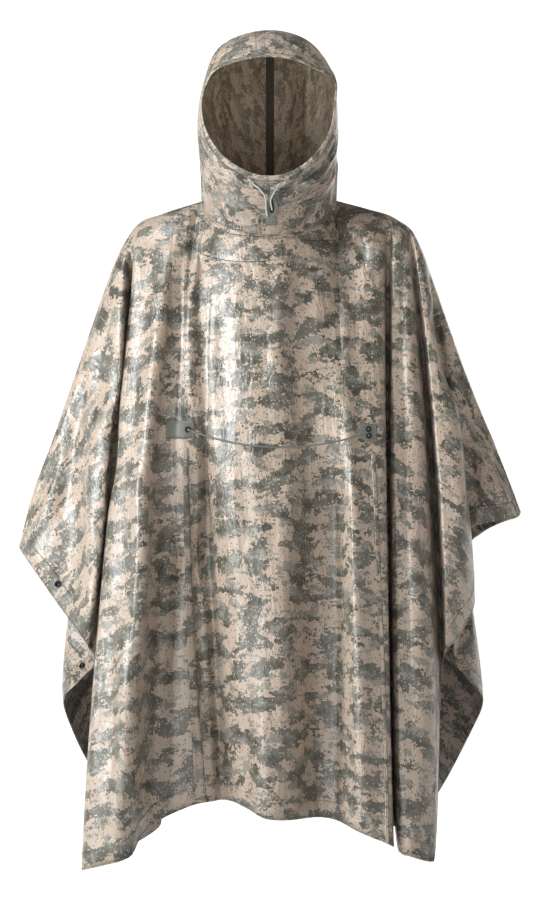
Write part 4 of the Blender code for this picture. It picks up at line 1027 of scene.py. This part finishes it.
def lay_on(tree, side, line):
    """Points of a drawn line dropped onto the cloth, with the cloth's normal at each."""
    run = run_along(line)
    points, outs = [], []
    for x, z in hermite(run, line, np.arange(0, run[-1], SEAM_LINE_STEP), tight=True):
        point, normal = tree.ray_cast(Vector((x, side * OUTSIDE, z)), Vector((0, -side, 0)), OUTSIDE + 0.1)[:2]
        if point is not None:
            points.append(point)
            outs.append(normal if normal.y * side > 0 else -normal)
    return np.array(points), np.array(outs)


def make_seam_lines(tree, thread, edge):
    """Seams at the neck and over the shoulders: rows of stitches beside a fine dark line, painted shadow along the
    seam's edge.
    """
    stitches = bmesh.new()
    edges = []
    for side, seams in SEAMS.items():
        for seam in seams:
            for k, apart in enumerate(seam.rows):
                points, outs = lay_on(tree, side, [(x, z + apart) for x, z in seam.line])
                # The first row also gets a fine dark line, painted shadow along the seam's edge.
                if k == 0:
                    name = seam.name + "_seam_painted_shadow"
                    edges.append(round_line(name, points + outs * SEAM_EDGE_LIFT, SEAM_EDGE_RADIUS, edge))
                stitch_row(stitches, points, outs, STITCH_THICK * STITCH_STANDS + SEAM_EDGE_LIFT)
    return [new_piece(stitches, "seam_stitches", thread, smooth=False), *edges]


def make_strip(name, half, span, drop_span, lift, thick, material, node, crown=0.0):
    """A narrow piece laid on the front between two places and two drops, crowned across if asked."""
    across = np.linspace(*span, max(7, int((span[1] - span[0]) * STRIP_PER_METRE)))
    down = np.linspace(*drop_span, max(6, int((drop_span[1] - drop_span[0]) * STRIP_PER_DROP)))
    points = []
    for x, share in zip(across, np.linspace(-1, 1, len(across))):
        line, out = (read_at(down, half[1], values) for values in between_columns(half, x))
        points.append(line + out * (lift + crown * (1 - share**2)))
    bm = bmesh.new()
    add_grid(bm, np.array(points), (0, FAR, 0))
    write_uv(bm, lambda vert: vert.co.xz)
    return add_wall(new_piece(bm, name, material, (node,)), thick)


def node_middle(node):
    """Middle of a solid of the frame."""
    low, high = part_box(node)
    return (Vector(low) + Vector(high)) / 2


def seated(name, profile, node, tree, material, front=False, outside=False):
    """A turned fitting where its solid is, square to the cloth there and resting on it."""
    middle = node_middle(node)
    if front:
        point, normal = tree.ray_cast(Vector((middle.x, -OUTSIDE, middle.z)), Vector((0, 1, 0)))[:2]
        if normal.y > 0:
            normal = -normal
    else:
        point, normal = tree.find_nearest(middle)[:2]
        if normal.dot(middle - point) < 0:
            normal = -normal
    if outside:
        point = point - normal * CLOTH_THICK
        normal = -normal
    z = normal.normalized()
    x = Vector((0, 0, 1)).cross(z).normalized()
    place = Matrix((x, z.cross(x), z)).transposed().to_4x4()
    place.translation = point
    bm = bmesh.new()
    verts = [bm.verts.new((r, 0, height)) for r, height in profile]
    closing = verts[:1] if profile[0][0] > 0 else []
    edges = [bm.edges.new(pair) for pair in zip(verts, verts[1:] + closing)]
    bmesh.ops.spin(bm, geom=verts + edges, cent=(0, 0, 0), axis=(0, 0, 1), angle=2 * math.pi, steps=TURNED_STEPS,
                   use_merge=True)
    bmesh.ops.remove_doubles(bm, verts=bm.verts, dist=WELD / 2)
    bmesh.ops.recalc_face_normals(bm, faces=bm.faces)
    bmesh.ops.transform(bm, matrix=place, verts=bm.verts)
    return new_piece(bm, name, material, (node,))


def teardrop(half, tall):
    """Outline of the cord lock, narrow at the top and round at the bottom."""
    arc = [(half * math.cos(a), half * math.sin(a)) for a in np.linspace(-math.pi, 0, LOCK_ARC_POINTS)]
    right = [(half * x, tall * y) for x, y in LOCK_OUTLINE]
    return arc + right + [(-x, y) for x, y in right[::-1]]


def make_lock(material, painted_shading):
    """The flat lock that both strands of the hood cord meet in, with its long slot, closed by a black face that is
    painted shadow.
    """
    low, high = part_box("hood_cord_lock")
    half = (high[0] - low[0]) / 2 * LOCK_SPREAD
    outline = teardrop(half, high[2] - low[2] - half)
    bm = bmesh.new()

    def ring(wide, high_share, rise, depth):
        return [bm.verts.new((x * wide, y * high_share + rise, depth)) for x, y in outline]

    loops = []
    for verts in (ring(1, 1, 0, 0), ring(*LOCK_SLOT, LOCK_SLOT_RISE, 0)):
        loops += [bm.edges.new(pair) for pair in zip(verts, verts[1:] + verts[:1])]
    bmesh.ops.bridge_loops(bm, edges=loops)
    grown = bmesh.ops.extrude_face_region(bm, geom=bm.faces[:])
    moved = [v for v in grown["geom"] if isinstance(v, bmesh.types.BMVert)]
    bmesh.ops.translate(bm, verts=moved, vec=(0, 0, LOCK_THICK))
    bmesh.ops.recalc_face_normals(bm, faces=bm.faces)
    sharp = [e for e in bm.edges if len(e.link_faces) == 2 and e.calc_face_angle(0) > SHARP_ANGLE]
    bmesh.ops.bevel(bm, geom=sharp, offset=LOCK_ROUND, segments=2, profile=0.5, affect="EDGES", material=-1)
    # A black face across the slot's hole, painted shadow.
    floor = bm.faces.new(ring(*LOCK_SLOT_SHADOW, LOCK_SLOT_RISE, LOCK_SLOT_SHADOW_DEPTH))
    floor.material_index = 1
    stand = Matrix(((1, 0, 0), (0, 0, -1), (0, 1, 0))).to_4x4()
    stand.translation = Vector((node_middle("hood_cord_lock").x, high[1], low[2] + half))
    bmesh.ops.transform(bm, matrix=stand, verts=bm.verts)
    lock = new_piece(bm, "cord_lock", material, ("hood_cord_lock",))
    lock.data.materials.append(painted_shading)


def make_tab(material, tree):
    """The small webbing tab under the lock, bent to the throat."""
    low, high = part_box("hood_cord_tab")
    points = []
    for z in np.linspace(low[2], high[2], TAB_POINTS):
        for x in np.linspace(low[0], high[0], TAB_POINTS):
            hit = tree.ray_cast(Vector((x, -OUTSIDE / 2, z)), Vector((0, 1, 0)), 0.4)[0]
            points.append((x, (hit.y if hit is not None else low[1]) - TAB_LIFT, z))
    bm = bmesh.new()
    add_grid(bm, np.array(points).reshape(TAB_POINTS, TAB_POINTS, 3), (0, FAR, 0))
    add_wall(new_piece(bm, "cord_tab", material, ("hood_cord_tab",)), TAB_THICK)


def make_tape(panels, material):
    """The dark tape on the inside of the crown seam."""
    inset = CLOTH_THICK / 2 + TAPE_INSET
    strip = []
    for across in np.linspace(-1, 1, TAPE_LINES):
        _, _, grid, n = panels[1 if across >= 0 else -1]
        beside = grid[TAPE_COLUMNS] - grid[0]
        reach = np.linalg.norm(beside, axis=1)[:, None]
        strip.append(grid[0] + beside * (abs(across) * TAPE_WIDTH / 2 / np.maximum(reach, TAPE_REACH)) - n[2] * inset)
    bm = bmesh.new()
    add_grid(bm, np.array(strip)[:, 2:-1], (0, 0, FAR))
    write_uv(bm, lambda vert: vert.co.xz)
    return add_wall(new_piece(bm, "crown_tape", material, ("hood_seam_tape",)), TAPE_THICK)


def as_input(value):
    """A socket, or a colour with its full opacity."""
    return value if isinstance(value, bpy.types.NodeSocket) else (*value, 1)


class Finish:
    """A material and a short way to add nodes to it."""

    def __init__(self, name, colour, roughness, metallic=0.0):
        self.material = bpy.data.materials.new(name)
        self.material.use_nodes = True
        self.tree = self.material.node_tree
        self.shader = self.tree.nodes["Principled BSDF"]
        self.set({"Base Color": (*colour, 1), "Roughness": roughness, "Metallic": metallic})

    def set(self, inputs, node=None):
        for key, value in inputs.items():
            socket = (node or self.shader).inputs[key]
            if isinstance(value, bpy.types.NodeSocket):
                self.tree.links.new(value, socket)
            else:
                socket.default_value = value

    def add(self, kind, inputs=(), **settings):
        made = self.tree.nodes.new(kind)
        for key, value in settings.items():
            setattr(made, key, value)
        self.set(dict(inputs), made)
        return made

    def maths(self, operation, a, b=0.0, c=0.0):
        return self.add("ShaderNodeMath", {0: a, 1: b, 2: c}, operation=operation).outputs[0]

    def vector(self, operation, a, b):
        return self.add("ShaderNodeVectorMath", {0: a, 1: b}, operation=operation).outputs[0]

    def noise(self, vector, scale, detail=2.0, rough=0.5, **more):
        inputs = {"Vector": vector, "Scale": scale, "Detail": detail, "Roughness": rough, **more}
        return self.add("ShaderNodeTexNoise", inputs).outputs["Fac"]

    def stretched_noise(self, vector, stretch, scale, detail, rough, **more):
        return self.noise(self.vector("MULTIPLY", vector, (*stretch, 1.0)), scale, detail, rough, **more)

    def waves(self, place, scale, distortion, **settings):
        inputs = {"Vector": place, "Scale": scale, "Distortion": distortion}
        return self.add("ShaderNodeTexWave", inputs, **settings).outputs["Fac"]

    def step(self, value, edge, soft=0.0):
        inputs = {"Value": value, "From Min": edge - soft, "From Max": edge + soft + 1e-5}
        return self.add("ShaderNodeMapRange", inputs).outputs[0]

    def below(self, value, edge, soft=0.0):
        return self.maths("SUBTRACT", 1.0, self.step(value, edge, soft))

    def blend(self, share, a, b, **settings):
        inputs = {"Factor": share, 6: as_input(a), 7: as_input(b)}
        return self.add("ShaderNodeMix", inputs, data_type="RGBA", **settings).outputs[2]

    def bump(self, height, distance, strength=1.0, under=None):
        inputs = {"Height": height, "Distance": distance, "Strength": strength}
        if under is not None:
            inputs["Normal"] = under
        return self.add("ShaderNodeBump", inputs).outputs[0]

    def object_place(self):
        return self.add("ShaderNodeTexCoord").outputs["Object"]


def camouflage(name, painted_shading=1.0, roughness=0.40, hem=True, stretch=(1.0, 1.75), muted_print_and_shade=0.0, rim=None):
    """Coated cloth printed with pixelled blotches of sand, two greys and a dark green grey; its colour is scaled with
    painted light and shade.
    """
    finish = Finish(name, SAND, roughness)
    uv = finish.add("ShaderNodeUVMap", uv_map="cloth").outputs[0]
    fine = finish.vector("SNAP", uv, (PIXEL, PIXEL, 1))
    wide = finish.vector("MULTIPLY", fine, (*stretch, 1.0))
    shifted = finish.vector("ADD", wide, (3.7, 8.1, 0.0))
    blotch = finish.noise(wide, BLOTCHES, 5.0, 0.60)
    second = finish.noise(shifted, SECOND_BLOTCHES, 5.0, 0.60)
    jag = finish.noise(fine, JAGS, 1.0, 0.5)
    speck = finish.noise(finish.vector("ADD", fine, (1.3, 5.9, 0.0)), SPECKS, 0.0, 0.5)
    ragged, ragged_second = (finish.maths("MULTIPLY_ADD", jag, strong, finish.maths("ADD", print_noise, -strong / 2))
                             for strong, print_noise in ((0.16, blotch), (0.14, second)))
    on_sand = finish.blend(finish.step(ragged_second, LIGHT_FROM), SAND, GREY_LIGHT)
    on_green = finish.blend(finish.step(ragged_second, DARK_BELOW), GREY_DARK, GREY_GREEN)
    on_green = finish.blend(finish.step(ragged_second, GREEN_LIGHT_FROM), on_green, GREY_LIGHT)
    colour = finish.blend(finish.step(ragged, GREEN_FROM), on_sand, on_green)
    colour = finish.blend(finish.step(speck, PALE_SPECKS_FROM), colour, SAND_PALE)
    colour = finish.blend(finish.below(speck, DARK_SPECKS_BELOW), colour, GREY_DARK)
    # The hood's inside is blended towards brown: its print seen muted, with painted warm shade of light coming
    # through the cloth.
    if muted_print_and_shade:
        colour = finish.blend(muted_print_and_shade, colour, MUTED_PRINT_AND_SHADE_BROWN)
    # The colour is multiplied by a soft random fade around this copy's brightness factor: painted shade below 1,
    # painted light above 1.
    fade = finish.maths("MULTIPLY_ADD", finish.noise(uv, 5.0, 2.0, 0.5), FADE, painted_shading - FADE / 2)
    tint = finish.add("ShaderNodeCombineColor", {0: fade, 1: fade, 2: fade}).outputs[0]
    colour = finish.blend(1.0, colour, tint, blend_type="MULTIPLY")
    crinkle = finish.stretched_noise(uv, (1.9, 1.0), 15.0, 4.0, 0.55, Distortion=0.5)
    runs = finish.stretched_noise(uv, (7.0, 1.0), 6.0, 3.0, 0.55)
    folds = finish.add("ShaderNodeTexVoronoi", {"Vector": finish.vector("MULTIPLY", uv, (1.6, 1.0, 1.0)),
                                                "Scale": 17.0}, feature="DISTANCE_TO_EDGE").outputs["Distance"]
    normal = finish.bump(crinkle, 0.0075, 0.9)
    if rim is not None:
        along_rim = finish.add("ShaderNodeUVMap", uv_map="rim").outputs[0]
        normal = finish.bump(finish.stretched_noise(along_rim, rim, 1.0, 3.0, 0.6), 0.0070, 1.0, normal)
    normal = finish.bump(runs, 0.0045, 0.6, normal)
    normal = finish.bump(finish.step(folds, 0.02, 0.02), 0.0005, 0.5, normal)
    normal = finish.bump(finish.noise(uv, 1400.0, 1.0, 0.5), 0.00012, 0.35, normal)
    if hem:
        edge = finish.add("ShaderNodeAttribute", attribute_name="hem").outputs["Fac"]
        normal = finish.bump(finish.below(edge, HEM_SIDE + 0.0012, 0.0008), CLOTH_THICK, 1.0, normal)
    finish.set({"Base Color": colour, "Normal": normal, "Specular IOR Level": 0.6, "Sheen Weight": 0.08,
                "Coat Weight": 0.30, "Coat Roughness": 0.30})
    return finish.material


def tones(colour, dark, pale, more=0.0):
    """A darker and a paler tone of a colour."""
    return tuple(c * dark for c in colour), tuple(min(1.0, c * pale + more) for c in colour)


def plain_cloth(name, colour, roughness=0.7):
    """Plain woven webbing, tape or thread."""
    finish = Finish(name, colour, roughness)
    place = finish.object_place()
    finish.set({"Base Color": finish.blend(finish.noise(place, 260.0, 2.0, 0.6), *tones(colour, 0.72, 1.25)),
                "Normal": finish.bump(finish.waves(place, 150.0, 1.0), 0.0002, 0.5)})
    return finish.material


def cord_finish(name, colour):
    """Round braided cord."""
    finish = Finish(name, colour, 0.62)
    braid = finish.waves(finish.object_place(), 260.0, 2.0, bands_direction="DIAGONAL")
    finish.set({"Base Color": finish.blend(braid, *tones(colour, 0.55, 1.25)),
                "Normal": finish.bump(braid, 0.0003, 0.7)})
    return finish.material


def hard_finish(name, colour, roughness, metallic):
    """Painted metal or moulded plastic with faint scuffs."""
    finish = Finish(name, colour, roughness, metallic)
    scuff = finish.noise(finish.object_place(), 700.0, 3.0, 0.6)
    finish.set({"Roughness": finish.maths("MULTIPLY_ADD", scuff, 0.25, roughness - 0.12),
                "Base Color": finish.blend(finish.step(scuff, 0.62, 0.05), *tones(colour, 1.0, 1.6, 0.01)),
                "Normal": finish.bump(scuff, 0.00008, 0.4)})
    return finish.material


def make_camera():
    """Camera at the photo's viewing angle, with plain colour so that white stays white."""
    bpy.context.scene.view_settings.view_transform = "Standard"
    data = bpy.data.cameras.new("camera")
    data.sensor_fit = "VERTICAL"
    data.sensor_height = SENSOR
    data.lens = SENSOR * VIEW_AWAY / VIEW_TALL
    camera = put_in_scene("camera", data)
    camera.location = (0.0, -VIEW_AWAY, VIEW_HEIGHT)
    camera.rotation_euler = (math.radians(90), 0, 0)
    bpy.context.scene.camera = camera


def make_light(row):
    """A rectangular soft light, aimed at a point."""
    data = bpy.data.lights.new(row.name, "AREA")
    data.energy = row.power
    data.shape = "RECTANGLE"
    data.size, data.size_y = row.size
    data.color = row.colour
    light = put_in_scene(row.name, data)
    light.location = row.place
    light.rotation_euler = (Vector(row.aim) - Vector(row.place)).to_track_quat("-Z", "Y").to_euler()


def floor_paint():
    """Pale paint; the floor is lit up from FLOOR_SWEEP outwards, as a white studio sweep is."""
    finish = Finish("floor_paint", FLOOR_GREY, 0.9)
    level = finish.vector("MULTIPLY", finish.object_place(), (1, 1, 0))
    from_middle = finish.add("ShaderNodeVectorMath", {0: level}, operation="LENGTH").outputs["Value"]
    lit = finish.add("ShaderNodeMapRange", {0: from_middle, 1: FLOOR_SWEEP[0], 2: FLOOR_SWEEP[1], 3: FLOOR_GLOW})
    finish.set({"Emission Strength": lit.outputs[0], "Emission Color": FLOOR_TINT})
    return finish.material


def make_studio():
    """Pale floor, white surroundings and soft lights, the strongest from the left in front."""
    bm = bmesh.new()
    bmesh.ops.create_circle(bm, cap_ends=True, radius=FLOOR_RADIUS, segments=64)
    bmesh.ops.translate(bm, verts=bm.verts, vec=(0, 0, FLOOR_HEIGHT))
    mesh = bpy.data.meshes.new("floor")
    bm.to_mesh(mesh)
    bm.free()
    put_in_scene("floor", mesh, floor_paint())
    make_surroundings()
    for row in LIGHTS:
        make_light(row)


def make_surroundings():
    """White walls all round at eye height, which dim towards the ceiling and the ground."""
    world = bpy.data.worlds.new("surroundings")
    world.use_nodes = True
    tree = world.node_tree
    split = tree.nodes.new("ShaderNodeSeparateXYZ")
    tree.links.new(tree.nodes.new("ShaderNodeTexCoord").outputs["Generated"], split.inputs[0])
    greys = tree.nodes.new("ShaderNodeValToRGB")
    stops = greys.color_ramp.elements
    for k, (height, grey) in enumerate(WALL_GREYS):
        stop = stops[k] if k < len(stops) else stops.new(1.0)
        stop.position = height / 2 + 0.5
        stop.color = (*(grey * tint for tint in WALL_TINT), 1)
    height = tree.nodes.new("ShaderNodeMath")
    height.operation = "MULTIPLY_ADD"
    height.inputs[1].default_value = 0.5
    height.inputs[2].default_value = 0.5
    tree.links.new(split.outputs[2], height.inputs[0])
    tree.links.new(height.outputs[0], greys.inputs[0])
    tree.links.new(greys.outputs[0], tree.nodes["Background"].inputs["Color"])
    tree.nodes["Background"].inputs["Strength"].default_value = WALL_STRENGTH
    bpy.context.scene.world = world


def make_cords(waist_line):
    """The hood cord's two strands and the waist cord, each as one spline."""
    braid = cord_finish("drawcord", CORD_GREY)
    cords = [("hood_cord_" + name, hood_strand(name), HOOD_CORD_RADIUS, braid, "hood_drawcord_" + name)
             for name in STRANDS]
    waist_braid = cord_finish("waist_drawcord_braid", WAIST_CORD_GREY)
    cords.append(("waist_cord", waist_line, WAIST_CORD_RADIUS, waist_braid, "waist_drawcord"))
    made = [round_line(name, line, radius, finish, (node,), 4) for name, line, radius, finish, node in cords]


def main():
    halves = body_halves()
    make_camera()
    make_cords(waist_route(halves[-1]))
    make_studio()
    cloth = camouflage("camouflage_outside")
    # Copies of the cloth with their colour scaled: 0.86 and both 0.93 are painted shade on the body's inside, the
    # casing and seam folds, and the hood; 1.42 is painted light inside the hood, where 0.35 also blends in brown for
    # its muted print and painted warm shade.
    inside = camouflage("camouflage_inside", 0.86, 0.55, False)
    hood_inside = camouflage("camouflage_hood_inside", 1.42, 0.60, False, (3.6, 1.5), 0.35, (34.0, 3.0))
    rolled = camouflage("camouflage_rolled", 0.93, 0.52, False)
    hood_outside = camouflage("camouflage_hood", 0.93, 0.46, False, rim=(8.0, 26.0))
    thread = plain_cloth("sewing_thread", THREAD_GREY)
    # Finish of the fine dark seam lines, painted shadow
    seam_shadow_finish = plain_cloth("seam_edge_painted_shadow", SEAM_SHADOW_DARK)
    tape = plain_cloth("crown_tape_webbing", TAPE_BROWN)
    patch_cloth = plain_cloth("waist_patch_cloth", PATCH_GREY, 0.5)
    tab = plain_cloth("tab_webbing", PATCH_GREY, 0.6)
    black = hard_finish("black_metal", BLACK_METAL, 0.32, 0.6)
    pale_metal = hard_finish("pale_metal", PALE_METAL, 0.35, 0.7)
    lock = hard_finish("lock_plastic", LOCK_GREY, 0.45, 0.0)

    panels = {side: hood_panel(side) for side in (-1, 1)}
    body = make_body_cloth(halves, cloth, inside)
    hood = make_hood_cloth(panels, hood_outside, hood_inside)
    casing = make_casing(panels, rolled)
    crown_tape = make_tape(panels, tape)
    stitching = make_stitching(halves, panels, thread)
    front = halves[-1]
    seams = [make_strip("front_seam_" + name + "_fold", front, (place - SEAM_HALF, place + SEAM_HALF),
                        (SEAM_TOP, SEAM_END), CLOTH_THICK / 2 + SEAM_LIFT, SEAM_THICK, rolled,
                        "front_seam_" + name, SEAM_THICK) for name, place in SEAM_PLACES.items()]
    patches = [make_strip("patch_" + name, front, span, WAIST_DROPS, CLOTH_THICK / 2 + PATCH_LIFT, PATCH_THICK,
                          patch_cloth, "waist_patch_" + name) for name, span in PATCHES.items()]

    depsgraph = bpy.context.evaluated_depsgraph_get()
    body_tree, hood_tree, left_tree, right_tree = (BVHTree.FromObject(piece, depsgraph)
                                                   for piece in (body, hood, *patches))
    for name in ("front_left", "back_left", "front_right", "back_right"):
        seated("snap_cap_" + name, SNAP_CAP, "snap_" + name, body_tree, black, outside=name == "back_right")
    for name, tree in (("left", left_tree), ("right_upper", right_tree), ("right_lower", right_tree)):
        node = "waist_grommet_" + name
        seated(node + "_ring", GROMMET_RING, node, tree, black, front=True)
    eyelet_ring = [(radius * EYELET_SHARE, height) for radius, height in GROMMET_RING]
    for node in ("hood_eyelet_left", "hood_eyelet_right"):
        seated(node + "_ring", eyelet_ring, node, hood_tree, pale_metal)
    seam_lines = make_seam_lines(body_tree, thread, seam_shadow_finish)
    # The black metal finish also closes the lock's slot as painted shadow.
    make_lock(lock, black)
    make_tab(tab, hood_tree)


main()
